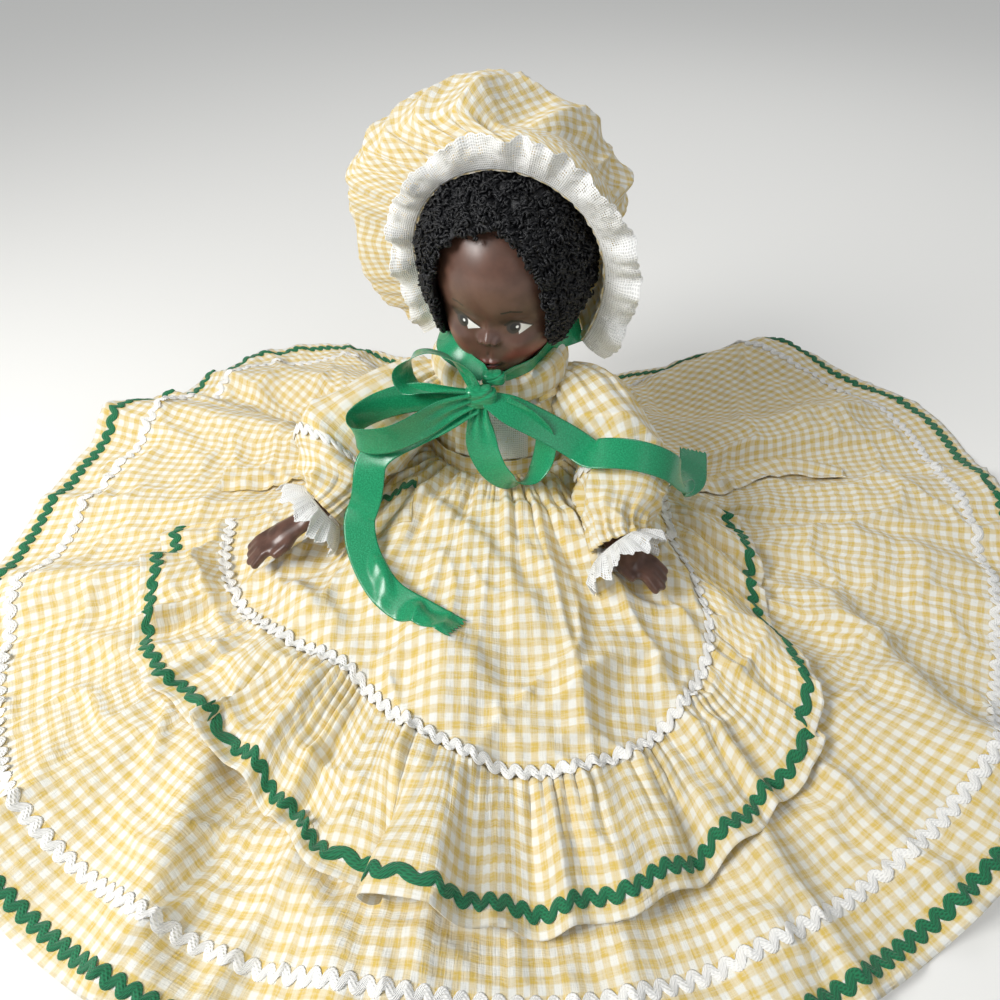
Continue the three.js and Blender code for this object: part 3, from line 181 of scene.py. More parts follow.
# The pinafore runs between these turns, in degrees
APRON_START = -171
APRON_END = -9
APRON_REACH = 180
APRON_SHARES = (0.85, 0.87, 0.865, 0.845, 0.83, 0.92, 0.995, 1, 0.94, 0.83, 0.62, 0.53, 0.5)
RUFFLE_DEPTH = 60
RUFFLE_SHARES = (0.57, 0.65, 0.88, 0.85, 1.02, 1.08, 0.93, 0.88, 0.88, 0.98, 0.87, 0.87, 0.73)
RUFFLE_GATHERS = 21
SEAM_TUCKS = 84
# Where the ruffle's hem is folded over: the place round it, how far it goes and how high it lies
HEM_FOLDS = ((0.262, 0.03, 5.5), (0.43, 0.034, 7.5), (0.742, 0.022, 4.5))
LAYER = 1.9
POCKET_PLACE = (-54, -52)
POCKET_SIZE = (25, 27)
BAND_LOW = 48.8
BAND_WIDTH = 9
STRAP_X = 21.5
STRAP_WIDTH = 9
TIE_WIDTH = 17
TIE_ROUTES = {
    "left": [(-50, 4, 0), (-88, 8, 0), (-126, 9, 0), (-162, 6, 0)],
    "right": [(50, 3, 0), (84, -2, 0), (118, 4, 0), (150, 17, 0), (176, 26, 0), (206, 16, 0)],
}

# Arms: shoulder, elbow, wrist and fingertip
ARM_PLACES = {
    "left": [(-39, -4, 80), (-72, -30, 62), (-87, -55, 46), (-126, -75, 28)],
    "right": [(39, -4, 80), (58, -42, 63), (54, -83, 47), (78, -99, 37)],
}
FINGER_REACH = 17
WRIST_SHARE = 0.75
# Radius of the sleeve at shares of the arm
SLEEVE_SHARES = np.array([
    (0, 16.4), (0.08, 20), (0.18, 19.2), (0.31, 18.5),
    (0.49, 17.4), (0.63, 13.8), (0.7, 12.4), (0.75, 11.8),
])
SLEEVE_RING_SHARE = 0.37
# How far and which way the cloth of a sleeve stands up from the arm
SLEEVE_PUFFS = {"left": (12, (-0.55, 0.35, 0.76)), "right": (4, (0.6, 0, 0.8))}
SHOULDER_SHARE = 0.1
SLEEVE_RUN = {"left": 122, "right": 146}
CUFF_LENGTH = 9.5
CUFF_RADII = (12.4, 23)

# Limbs: node, piece, body, finish, voxel, rounds of smoothing, swell and how full it is stuffed
LIMBS = (
    ("forearm", "moulded_forearm", "arm", "skin", 0.6, 9, 1.5, None),
    ("lower_leg", "moulded_leg", "leg", "skin", 0.8, 10, 0, None),
    ("upper_arm", "stuffed_arm", "arm", "body", 0.9, 10, 0, 0.75),
    ("thigh", "stuffed_thigh", "leg", "body", 0.9, 10, 0, 0.75),
)

# Ribbon
RIBBON_WIDTH = 15
CHIN_KNOT = (-3, -32.5, 107)
BOW_KNOT = (-9, -39.5, 100)
STRAP_ROUTES = {
    "left": [(-25.5, -10, 110.5), (-17.0, -22, 108.2)],
    "right": [(24.5, -9, 109.8), (14.5, -22, 106.8)],
}
STRAP_FACING = {"left": (-0.35, -0.6, 0.7), "right": (0.6, -0.7, -0.3)}
# The bow's loops: their places from the knot and back, and the directions of their width
LOOPS = {
    "left": (
        [
            (-13, -40, 100.5), (-26, -40, 100), (-42, -38, 98), (-57, -40, 94), (-67, -46, 90),
            (-65, -54, 87), (-52, -56, 88), (-38, -52, 92), (-25, -46, 97), (-13, -42, 100),
        ],
        [
            (0, -0.2, 1), (-0.1, 0.1, 1), (-0.15, 0.15, 1), (-0.2, 0, 1), (-0.2, -0.2, 1),
            (-0.1, -0.1, 1), (0.1, 0, 1), (0.1, 0.1, 1), (0, 0.2, 1), (0, 0, 1),
        ],
    ),
    "drop": (
        [
            (-10, -41, 96), (-9.5, -45, 87), (-7.5, -49, 76), (-2, -52.5, 66), (6, -54, 60.5),
            (14.5, -52.5, 63), (20, -49, 72), (20.5, -46, 83), (14, -43.5, 93), (3, -41, 99),
        ],
        [
            (1, 0.1, 0.1), (0.95, 0.05, 0.2), (0.9, -0.1, 0.35), (0.8, -0.25, 0.5),
            (0.7, -0.4, 0.6), (0.6, -0.5, 0.6), (0.6, -0.6, 0.5), (0.5, -0.65, 0.5),
            (0.3, -0.7, 0.6), (0.1, -0.6, 0.8),
        ],
    ),
    "arch": (
        [
            (-12, -38, 103), (-16, -36, 110), (-23, -33, 116), (-32, -31.5, 118.5),
            (-40, -31.5, 116), (-44, -33, 110), (-42, -35.5, 104.5), (-34, -38, 102),
            (-23, -39.5, 101.5), (-13, -39, 101),
        ],
        [
            (0.6, -0.5, 0.5), (0.6, -0.7, 0.3), (0.3, -0.9, 0.3), (0.1, -0.9, 0.4),
            (-0.2, -0.9, 0.2), (-0.5, -0.8, 0.1), (-0.3, -0.9, 0), (0, -0.8, 0.5),
            (0, -0.6, 0.7), (0, -0.5, 0.8),
        ],
    ),
}
TAILS = {
    "left": [
        (-11, -40, 96), (-38, -46, 86), (-60, -52, 74), (-66.5, -62, 56),
        (-65, -80, 43), (-52, -102, 36), (-33, -115, 34), (-19, -123, 32),
    ],
    "right": [
        (-6, -41, 100), (9, -46, 95), (28, -50, 86), (48, -56, 76), (75, -54, 63),
        (92, -39, 46), (101, -27, 39), (105, -13, 36), (108, 2, 35),
    ],
}
TAIL_FACING = np.array((0, -0.5, 0.86))
# How far the tails and the loops keep from the sleeves' rings
TAIL_GAP = 10.5
LOOP_GAP = 1.5

# Stage: each light's name, place, size, power and colour
LIGHTS = (
    ("key", (-0.58, -0.34, 0.6), 0.34, 6.6, (1, 0.995, 0.98)),
    ("fill", (0.7, -0.75, 0.8), 0.9, 2.6, (0.96, 0.98, 1)),
    ("back", (0.3, 0.7, 0.95), 0.6, 2.6, (1, 1, 1)),
)
CAMERA_PLACE = (0, -0.325, 0.299)
CAMERA_TILT = math.radians(47.3)
CAMERA_LENS = 27
WORLD_COLOUR = (0.85, 0.88, 0.92, 1)
WORLD_STRENGTH = 0.27
FLOOR_HALF = 3000
FLOOR_GLOW = 0.28


def ease(value):
    """A smooth step from 0 to 1."""
    value = np.clip(value, 0, 1)
    return value * value * (3 - 2 * value)


def mix(low, high, share):
    """A value at a share of the way from low to high."""
    return low + (high - low) * share


def grid(columns, rows):
    """Two arrays over a grid, columns by rows."""
    return np.meshgrid(columns, rows, indexing="ij")


def round_again(values, step=0):
    """A closed grid with its first column once more at the end."""
    return np.concatenate([values, values[:1] + step])


def flat_map(along, across):
    """A cut laid flat, from two arrays that span its grid."""
    return np.stack(np.broadcast_arrays(along, across), -1)


def bell(value):
    """A bell curve, 1 at 0."""
    return np.exp(-(value**2))


def shaded(colour, share):
    """A darker tone of a colour."""
    return tuple(part * share for part in colour)


def bump(x, z, wide, high):
    """A rounded bump, 1 in its middle."""
    return np.exp(-((x / wide) ** 2) - (z / high) ** 2)


def unit(vector):
    """Vectors of length 1."""
    return vector / np.maximum(np.linalg.norm(vector, axis=-1, keepdims=True), 1e-9)


def through(values, share, closed=False):
    """A smooth value through evenly spaced ones, open or running round."""
    values = np.asarray(values, float)
    last = len(values) - (0 if closed else 1)
    place = np.asarray(share, float) * last
    first = np.clip(np.floor(place).astype(int), 0, last - (0 if closed else 1))
    step = (place - first)[(...,) + (None,) * (values.ndim - 1)]

    def at(index):
        return values[index % len(values) if closed else np.clip(index, 0, len(values) - 1)]

    a, b, c, d = (at(first + offset) for offset in (-1, 0, 1, 2))
    curve = c - a + step * (2 * a - 5 * b + 4 * c - d + step * (3 * (b - c) + d - a))
    return b + 0.5 * step * curve


def rounded(table, share, column, soften=0.025):
    """A column of a table of shares, with its corners rounded."""
    offsets = np.linspace(-soften, soften, 5)
    return sum(np.interp(share + offset, table[:, 0], table[:, column]) for offset in offsets) / 5


def grain(x, y, seed):
    """Smooth noise from -1 to 1 that repeats every NOISE_CELLS."""
    table = np.random.default_rng(seed).uniform(-1, 1, (NOISE_CELLS, NOISE_CELLS))
    column, row = np.floor(x).astype(int), np.floor(y).astype(int)
    across, up = ease(x - column), ease(y - row)

    def pick(right, above):
        return table[(column + right) % NOISE_CELLS, (row + above) % NOISE_CELLS]

    return mix(mix(pick(0, 0), pick(1, 0), across), mix(pick(0, 1), pick(1, 1), across), up)


def crumple(x, y, size, seed, octaves=3):
    """Soft unevenness of cloth over places in millimetres."""
    total = 0
    for octave in range(octaves):
        turn = 0.4 + 0.9 * octave
        scale = size / 2**octave
        u = (x * math.cos(turn) + y * math.sin(turn)) / scale + 7.3 * octave
        v = (y * math.cos(turn) - x * math.sin(turn)) / scale + 3.1 * octave
        total = total + grain(u, v, seed + octave) / 1.8**octave
    return total / 1.7


def creases(x, y, size, seed, sharp=5):
    """Narrow ridges from 0 to 1, as in pressed and crumpled cloth."""
    return (1 - np.abs(crumple(x, y, size, seed, 2))) ** sharp


def mesh_piece(name, points, faces, tone):
    """A smooth piece from places in millimetres, with one finish."""
    mesh = bpy.data.meshes.new(name)
    mesh.from_pydata((points.reshape(-1, 3) * MM).tolist(), [], faces.reshape(-1, 4).tolist())
    mesh.shade_smooth()
    mesh.materials.append(finish(tone))
    piece = bpy.data.objects.new(name, mesh)
    bpy.context.collection.objects.link(piece)
    return piece


def quads(values):
    """The four corners of each face of a grid."""
    return np.stack([values[:-1, :-1], values[1:, :-1], values[1:, 1:], values[:-1, 1:]], 2)


def surface(name, points, tone="gingham", flat=None, closed=False, thickness=None):
    """A piece from a grid of places, columns by rows, with its cut laid flat as a map.

    Without a thickness it gets the cloth's.
    """
    columns, rows = points.shape[:2]
    index = np.arange(columns * rows).reshape(columns, rows)
    if closed:
        index = np.vstack([index, index[:1]])
    piece = mesh_piece(name, points, quads(index), tone)
    if flat is not None:
        layer = piece.data.uv_layers.new(name="flat")
        layer.data.foreach_set("uv", quads(flat).reshape(-1).astype(np.float32))
    if thickness is None:
        thickness = bpy.context.scene.doll_sizes.cloth / MM
    if thickness:
        solid = piece.modifiers.new("thickness", "SOLIDIFY")
        solid.thickness = thickness * MM
        solid.offset = 0
    return piece


def node_piece(node, name, points, *look, body=None, **shape):
    """A surface that replaces a node and, if a body is named, rides on it."""
    piece = surface(name, points, *look, **shape)
    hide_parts(node)
    if body:
        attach(piece, body)
    return piece


def dress(piece, tone):
    """Gives a piece one finish in place of those it has."""
    piece.data.materials.clear()
    piece.data.materials.append(finish(tone))


def joined(name, pieces):
    """Several meshes as one piece."""
    bpy.ops.object.select_all(action="DESELECT")
    for piece in pieces:
        piece.select_set(True)
    bpy.context.view_layer.objects.active = pieces[0]
    bpy.ops.object.join()
    pieces[0].name = name
    return pieces[0]


def ride_torso(pieces):
    """Lets pieces ride on the torso."""
    for piece in pieces:
        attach(piece, "torso")
    return pieces


def lengths(points, axis):
    """Running length along an axis of a grid of places."""
    steps = np.linalg.norm(np.diff(points, axis=axis), axis=-1)
    start = np.zeros_like(np.take(steps, [0], axis))
    return np.concatenate([start, np.cumsum(steps, axis)], axis)


def softened(node, name, tone, voxel, smooth, swell=0):
    """A finer, rounder copy of a node's solid, with gaps narrower than twice the swell closed."""
    piece = bpy.data.objects.new(name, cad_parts[node].data.copy())
    bpy.context.collection.objects.link(piece)
    for step, out in (("fine", 0), ("swell", swell), ("closed", 0), ("back", -swell * 0.75)):
        if out:
            moved = piece.modifiers.new(step, "DISPLACE")
            moved.strength = out * MM
            moved.mid_level = 0
        elif swell or step == "fine":
            remesh = piece.modifiers.new(step, "REMESH")
            remesh.mode = "VOXEL"
            remesh.voxel_size = voxel * MM
            remesh.use_smooth_shade = True
    rounding = piece.modifiers.new("rounding", "SMOOTH")
    rounding.factor = 0.5
    rounding.iterations = smooth
    bpy.context.view_layer.update()
    graph = bpy.context.evaluated_depsgraph_get()
    shape = bpy.data.meshes.new_from_object(piece.evaluated_get(graph))
    piece.modifiers.clear()
    piece.data = shape
    dress(piece, tone)
    return piece


# Finishes


class Finish:
    """A procedural material, with short ways to add and join nodes."""

    def __init__(self, name, **values):
        self.material = bpy.data.materials.new(name)
        self.material.use_nodes = True
        self.nodes = self.material.node_tree.nodes
        self.links = self.material.node_tree.links
        self.shader = self.nodes["Principled BSDF"]
        self.set(**values)

    def join(self, value, socket):
        """Links or sets a socket. A colour needs no alpha."""
        if isinstance(value, bpy.types.NodeSocket):
            self.links.new(value, socket)
        elif socket.type == "RGBA" and len(value) == 3:
            socket.default_value = (*value, 1)
        else:
            socket.default_value = value

    def set(self, **values):
        """Joins values to the shader's sockets, named with _ for a space."""
        for socket, value in values.items():
            self.join(value, self.shader.inputs[socket.replace("_", " ")])

    def add(self, kind, *values, **settings):
        """A new node with its settings, its first inputs joined to values."""
        node = self.nodes.new("ShaderNode" + kind)
        for setting, value in settings.items():
            setattr(node, setting, value)
        for value, socket in zip(values, node.inputs):
            self.join(value, socket)
        return node

    def calc(self, operation, *values):
        return self.add("Math", *values, operation=operation).outputs[0]

    def plus(self, *values):
        return self.calc("ADD", *values)

    def minus(self, *values):
        return self.calc("SUBTRACT", *values)

    def times(self, *values):
        return self.calc("MULTIPLY", *values)

    def times_plus(self, *values):
        return self.calc("MULTIPLY_ADD", *values)

    def step(self, value, low, high, start=0.0, end=1.0):
        """A smooth step between two values, from a start to an end."""
        values = value, low, high, start, end
        return self.add("MapRange", *values, interpolation_type="SMOOTHSTEP").outputs[0]

    def blend(self, share, low, high):
        """A colour at a share of the way from low to high."""
        node = self.add("Mix", share, data_type="RGBA")
        self.join(low, node.inputs[6])
        self.join(high, node.inputs[7])
        return node.outputs[2]

    def axes(self):
        """The two axes of the flat map, in millimetres, and the map itself."""
        flat = self.add("UVMap", uv_map="flat").outputs[0]
        u, v, _ = self.add("SeparateXYZ", flat).outputs
        return u, v, flat

    def pair(self, right, above):
        """A place on a flat map from its two axes."""
        return self.add("CombineXYZ", right, above).outputs[0]

    def place(self):
        """The place on the object, in metres."""
        return self.add("TexCoord").outputs["Object"]

    def noise(self, vector, size, detail=2.0, unit_size=MM):
        """Noise of a size in millimetres, from 0 to 1."""
        node = self.add("TexNoise", vector)
        node.inputs["Scale"].default_value = 1 / (size * unit_size)
        node.inputs["Detail"].default_value = detail
        return node.outputs[0]

    def raise_by(self, height, distance, strength=1.0):
        """Bump of a depth in millimetres."""
        node = self.add("Bump")
        node.inputs["Distance"].default_value = distance * MM
        node.inputs["Strength"].default_value = strength
        self.join(height, node.inputs["Height"])
        self.set(Normal=node.outputs[0])

    def ellipse(self, x, z, spot, size, soft=0.25, tilt=0.0):
        """A soft-edged ellipse, 1 inside, at a place on a flat map."""
        right = self.minus(x, spot[0])
        above = self.minus(z, spot[1])
        cos, sin = math.cos(math.radians(tilt)), math.sin(math.radians(tilt))
        along = self.times_plus(right, cos, self.times(above, sin))
        over = self.times_plus(above, cos, self.times(right, -sin))
        squares = [
            self.calc("POWER", self.calc("DIVIDE", part, half), 2.0)
            for part, half in zip((along, over), size)
        ]
        return self.step(self.plus(*squares), 1 + soft, 1 - soft)

    def stroke(self, x, z, start, end, width, soft=0.5):
        """A soft-edged line, 1 inside, from a place to another on a flat map."""
        length = math.dist(start, end)
        ahead = (end[0] - start[0]) / length, (end[1] - start[1]) / length
        right = self.minus(x, start[0])
        above = self.minus(z, start[1])
        along = self.times_plus(right, ahead[0], self.times(above, ahead[1]))
        over = self.times_plus(above, ahead[0], self.times(right, -ahead[1]))
        nearest = self.calc("MAXIMUM", self.calc("MINIMUM", along, length), 0.0)
        past = self.minus(along, nearest)
        squares = self.plus(self.times(past, past), self.times(over, over))
        return self.step(self.calc("SQRT", squares), width * (1 + soft), width * (1 - soft))

    def wedge(self, x, z, corners, soft=0.15):
        """A soft-edged triangle, 1 inside, with its corners in clockwise order."""
        inside = 1.0
        for start, end in zip(corners, corners[1:] + corners[:1]):
            length = math.dist(start, end)
            out = (end[1] - start[1]) / length, (start[0] - end[0]) / length
            offset = -(start[0] * out[0] + start[1] * out[1])
            reach = self.times_plus(x, out[0], self.times_plus(z, out[1], offset))
            inside = self.times(inside, self.step(reach, -soft, soft))
        return inside


def gingham(name, colours, check):
    """Woven check: crossed stripes of soft, uneven threads, white where neither is dyed."""
    made = Finish(name, Roughness=0.86)
    u, v, flat = made.axes()
    drift = made.noise(flat, 11, 2, 1)
    stripes, threads = [], []
    for axis, other, shift in ((u, v, 0.5), (v, u, -0.45)):
        moved = made.times_plus(drift, shift, axis)
        wave = made.calc("SINE", made.times(moved, FULL / check))
        thread = made.noise(made.pair(axis, made.times(other, 0.09)), 0.75, 2, 1)
        threads.append(thread)
        edge = made.times_plus(thread, 0.9, made.minus(wave, 0.45))
        stripes.append(made.step(edge, -0.42, 0.42))
    both = made.times(*stripes)
    tone = made.times_plus(both, -0.2, made.times(made.plus(*stripes), 0.6))
    colour = made.blend(tone, colours[0], colours[1])
    aged = made.step(made.noise(made.place(), 34, 3), 0.38, 0.72)
    colour = made.blend(made.times(aged, 0.2), colour, colours[2])
    woven = made.plus(*threads)
    colour = made.blend(made.step(woven, 0.85, 1.2, 0.0, 0.3), colour, colours[0])
    made.set(Base_Color=colour, Sheen_Weight=0.2, Sheen_Roughness=0.5)
    made.raise_by(made.plus(woven, made.noise(flat, 3.5, 2, 1)), 0.3)
    return made.material


def satin(name, colours):
    """Ribbon with a fine weave and a tight bound edge."""
    made = Finish(name, Sheen_Weight=0.1, Coat_Weight=0.35, Coat_Roughness=0.3)
    u, v, flat = made.axes()
    weave = made.noise(flat, 0.7, 2, 1)
    cloud = made.noise(flat, 14, 2, 1)
    edge = made.step(made.calc("ABSOLUTE", v), RIBBON_WIDTH / 2 - 0.9, RIBBON_WIDTH / 2 - 0.5)
    picot = made.step(made.calc("SINE", made.times(u, FULL / 1.1)), -0.4, 0.4)
    colour = made.blend(made.step(weave, 0.35, 0.7), colours[0], colours[1])
    bound = made.times(made.times(edge, picot), 0.5)
    colour = made.blend(bound, colour, shaded(colours[0], 0.6))
    made.set(Base_Color=colour, Roughness=made.step(cloud, 0.3, 0.7, 0.2, 0.3))
    made.raise_by(made.plus(weave, made.times(edge, 1.5)), 0.05, 0.6)
    return made.material


def lace(name, colour):
    """Cotton lace: pinholes between clustered threads, closed along its heading, with painted shade
    round the holes.
    """
    made = Finish(name, Roughness=0.9, Sheen_Weight=0.2)
    u, v, flat = made.axes()
    mesh = [made.calc("SINE", made.times(axis, FULL / 2.1)) for axis in (u, v)]
    net = made.calc("ABSOLUTE", made.times(*mesh))
    flower = made.calc("SINE", made.times(u, FULL / 6.5))
    row = made.calc("SINE", made.times_plus(v, FULL / 5.6, 0.6))
    dense = made.step(made.times(flower, row), -0.1, 0.4)
    patch = made.step(made.noise(flat, 3.6, 2, 1), 0.46, 0.54)
    dense = made.calc("MAXIMUM", dense, patch)
    ragged = made.times_plus(made.noise(flat, 0.7, 2, 1), 0.7, made.minus(net, 0.35))
    hole = made.step(made.minus(ragged, made.times(dense, 0.5)), 0.5, 0.62)
    heading = made.step(v, 1.0, 1.8)
    made.set(Alpha=made.minus(1.0, made.times(hole, heading)))
    # Painted shade: the threads round each hole are darker than the lace
    shade = shaded(colour, 0.78)
    made.set(Base_Color=made.blend(made.step(ragged, 0.7, 0.2), shade, colour))
    made.raise_by(made.plus(net, made.noise(flat, 0.8, 2, 1)), 0.16)
    return made.material


def braid(name, colour, shade):
    """Rickrack: a flat braid with slanted threads, with painted shade, darker by a share, in the
    grooves between them.
    """
    made = Finish(name, Roughness=0.8, Sheen_Weight=0.2)
    u, v, _ = made.axes()
    slant = made.calc("SINE", made.times(made.times_plus(v, 1.6, u), FULL / 1.0))
    ridge = made.plus(made.calc("SINE", made.times(v, FULL / 0.95)), slant)
    # Painted shade: the grooves between the threads are darker than the braid's colour
    made.set(Base_Color=made.blend(made.step(ridge, -1.6, 0.6), shaded(colour, shade), colour))
    made.raise_by(ridge, 0.08)
    return made.material


def plain(name, colour, shade, size, depth, **values):
    """A plain material with soft mottling."""
    made = Finish(name, **values)
    spot = made.place()
    spots = made.step(made.noise(spot, size, 3), 0.35, 0.7)
    made.set(Base_Color=made.blend(spots, colour, shade))
    made.raise_by(made.noise(spot, size / 5, 3), depth)
    return made.material


def face_marks():
    """What is painted on the face, from below: a shape, its values, its strength and its tone."""
    ellipse, stroke = Finish.ellipse, Finish.stroke
    for side, _ in SIDES:
        x, z = EYE_SPOTS[side]
        yield ellipse, (CHEEK_SPOTS[side], CHEEK_SIZE, 0.95), 0.55, "flush"
        # Painted shade: the skin round each eye is darkened, as in a hollow
        yield ellipse, ((x + 1.5, z + 0.5), (8.5, 6.5), 0.9), 0.4, "skin_shade"
    x, z = LIP_SPOT
    yield ellipse, ((x, z + 1.4), (5.6, 1.5), 0.4), 0.5, "lip"
    yield ellipse, ((x, z - 1.2), (4.8, 1.7), 0.4), 0.75, "lip"
    line = [(x + step, z + drop) for step, drop in LIP_LINE]
    for ends in zip(line, line[1:]):
        yield stroke, (*ends, 0.5), 0.75, "line"
    # Painted shade in the nostrils: a dark spot under each side of the nose
    for nostril in (-1.9, 1.9):
        yield ellipse, ((NOSE_X + nostril, NOSE_HEIGHT - 4.6), (1.3, 0.7), 0.6), 0.6, "line"
    for side, _ in SIDES:
        x, z = EYE_SPOTS[side]
        for ends in BROWS[side]:
            yield stroke, (*ends, 0.5), 0.95, "line"
        yield ellipse, ((x - 2.8, z + 2.6), (3.4, 1.9), 0.8, -24), EYE_SMUDGES[side], "line"
        white = [(x + step, z + rise) for step, rise in EYE_WHITES[side]]
        yield Finish.wedge, (white,), 1.0, "eye_white_and_glint"
        yield ellipse, ((x, z), (3.05, 3.2), 0.2), 1.0, "iris"
        yield ellipse, ((x + 0.2, z), (1.7, 1.8), 0.3), 1.0, "pupil"
        lid = (x - 3.4, z + 1.5), (x - 0.6, z + 3.2), (x + 3.2, z + 2.2), white[1]
        for start, end, width, strength in zip(lid, lid[1:], (0.7, 0.6, 0.35), (0.85, 0.85, 0.8)):
            yield stroke, (start, end, width), strength, "line"
        # Painted highlight: a white glint on each iris, in the eye white's tone
        yield ellipse, ((x + EYE_GLINTS[side], z + 0.1), (0.62, 0.62), 0.35), 1.0, "eye_white_and_glint"


def face_paint(colours):
    """Glossy painted skin with side-glancing eyes, thin brows, lips and flushed cheeks, with
    painted shade round the eyes and in the nostrils and a painted highlight on each eye.
    """
    made = Finish("face_paint", Coat_Weight=0.4, Coat_Roughness=0.3)
    x, z, _ = made.axes()
    spot = made.place()
    mottle = made.noise(spot, 7, 3)
    made.set(Roughness=made.step(mottle, 0.3, 0.7, 0.36, 0.46))
    colour = made.blend(made.step(mottle, 0.3, 0.75), colours["skin"], colours["skin_shade"])
    for shape, values, strength, tone in face_marks():
        share = made.times(shape(made, x, z, *values), strength)
        colour = made.blend(share, colour, colours[tone])
    made.set(Base_Color=colour)
    made.raise_by(made.noise(spot, 2.4, 3), 0.04, 0.4)
    return made.material


def linear(colour):
    """A linear colour from a display one, given as red, green and blue out of 255."""
    parts = (part / 255 for part in colour)
    return tuple(((part + 0.055) / 1.055) ** 2.4 if part > 0.04 else part / 12.92 for part in parts)


def colour_property(name, description, colour):
    return bpy.props.FloatVectorProperty(
        name=name,
        description=description,
        default=linear(colour),
        size=3,
        subtype="COLOR",
        min=0,
        max=1,
    )


def size_property(name, description, size):
    return bpy.props.FloatProperty(
        name=name, description=description, default=size * MM, unit="LENGTH"
    )


class DollColours(bpy.types.PropertyGroup):
    """Colours of the doll and its clothes."""

    cloth_pale: colour_property("Cloth ground", "The pale threads of the check", (239, 238, 230))
    cloth_deep: colour_property("Cloth check", "The full tone of the check", (219, 188, 93))
    cloth_aged: colour_property(
        "Cloth ageing", "Unevenness that age gives the cloth", (222, 204, 158)
    )
    ribbon: colour_property("Ribbon", "Satin ribbon", (14, 134, 86))
    ribbon_light: colour_property("Ribbon light", "Lighter threads of the ribbon", (36, 164, 112))
    lace: colour_property("Lace", "Cotton lace", (252, 252, 250))
    green_trim: colour_property("Green trim", "Green rickrack", (20, 122, 78))
    white_trim: colour_property("White trim", "White rickrack", (253, 252, 248))
    skin: colour_property("Skin", "Painted skin", (106, 74, 61))
    hair: colour_property("Hair", "Curled hair", (12, 13, 19))
    body: colour_property("Body cloth", "Cloth of the stuffed body", (206, 186, 150))
    floor: colour_property("Floor", "Plain floor of the stage", (214, 213, 209))


class DollSizes(bpy.types.PropertyGroup):
    """Sizes of what the cloth does."""

    check: size_property("Check", "Repeat of the check", 6.35)
    cloth: size_property("Cloth thickness", "Thickness of the cloth", 0.5)
    crease: size_property("Crease height", "Height of the skirt's creases", 3.6)
    braid_wave: size_property("Braid wave", "Length of one wave of the rickrack", 6.2)
    braid_width: size_property("Braid width", "Width of the rickrack's band", 3.1)
    braid_swing: size_property("Braid swing", "Half of the wave's height", 1.75)
    curls: bpy.props.IntProperty(
        name="Curls", description="Number of curls on the wig", default=5200, min=0
    )


FINISHES = {}


def finish(name):
    """A finish by name, made on first use from the colours in the panel."""
    if name not in FINISHES:
        look = bpy.context.scene.doll_colours
        check = bpy.context.scene.doll_sizes.check / MM
        cloth = (look.cloth_pale, look.cloth_deep, look.cloth_aged)
        coat = {"Roughness": 0.36, "Coat_Weight": 0.3, "Coat_Roughness": 0.2}
        makers = {
            "gingham": lambda: gingham(name, cloth, check),
            "satin": lambda: satin(name, (look.ribbon, look.ribbon_light)),
            "lace": lambda: lace(name, look.lace),
            # The last value is how dark the painted shade in each braid's grooves is
            "green_braid": lambda: braid(name, look.green_trim, 0.55),
            "white_braid": lambda: braid(name, look.white_trim, 0.95),
            "skin": lambda: plain(name, look.skin, shaded(look.skin, 0.55), 7, 0.06, **coat),
            "face": lambda: face_paint(face_colours(look)),
            "hair": lambda: plain(name, look.hair, shaded(look.hair, 0.4), 2, 0.3, Roughness=0.45),
            "body": lambda: plain(
                "muslin", look.body, shaded(look.body, 0.8), 14, 0.2, Roughness=0.95
            ),
            "thread": lambda: plain(
                name, look.body, shaded(look.body, 0.7), 1, 0.1, Roughness=0.9
            ),
            "button": lambda: plain(name, look.white_trim, look.lace, 5, 0.02, Roughness=0.35),
            "floor": lambda: floor_paint(look.floor),
        }
        FINISHES[name] = makers[name]()
    return FINISHES[name]


def floor_paint(colour):
    """A pale floor that the camera and mirrors see a little brighter than the lamps make it."""
    made = Finish("floor", Base_Color=colour, Roughness=0.95, Emission_Color=(0.95, 0.95, 0.93))
    seen = made.add("LightPath")
    straight = made.calc("MAXIMUM", seen.outputs["Is Camera Ray"], seen.outputs["Is Glossy Ray"])
    through_glass = made.calc("MAXIMUM", straight, seen.outputs["Is Transmission Ray"])
    made.set(Emission_Strength=made.times(through_glass, FLOOR_GLOW))
    return made.material


def face_colours(look):
    """Tones of the painted face."""
    return {
        "skin": look.skin,
        # Darker skin for the random mottling and for the painted shade round the eyes
        "skin_shade": shaded(look.skin, 0.72),
        "flush": linear((150, 56, 48)),
        "lip": linear((112, 44, 34)),
        "line": linear((20, 12, 10)),
        "eye_white_and_glint": linear((248, 246, 240)),
        "iris": linear((52, 46, 44)),
        "pupil": linear((6, 5, 6)),
    }


# Shared forms


def body_profile(share):
    """Half the clothed body's width and depth at a share of its height."""
    share = np.asarray(share, float)
    return (
        rounded(TORSO_SHARES, share, 1) * HIP_WIDTH / 2,
        rounded(TORSO_SHARES, share, 2) * HIP_DEPTH / 2,
    )


def on_body(share, turn, distance):
    """A place on the clothed body, at a share of its height and a turn from +X."""
    width, depth = body_profile(share)
    low, high = body_profile(share - 0.03)[0], body_profile(share + 0.03)[0]
    rise = 0.06 * NECK_HEIGHT
    length = np.hypot(rise, low - high)
    out, up = distance * rise / length, distance * (low - high) / length
    x, y = (width + out) * np.cos(turn), (depth + out) * np.sin(turn)
    return np.stack([x, y, share * NECK_HEIGHT + up], -1)


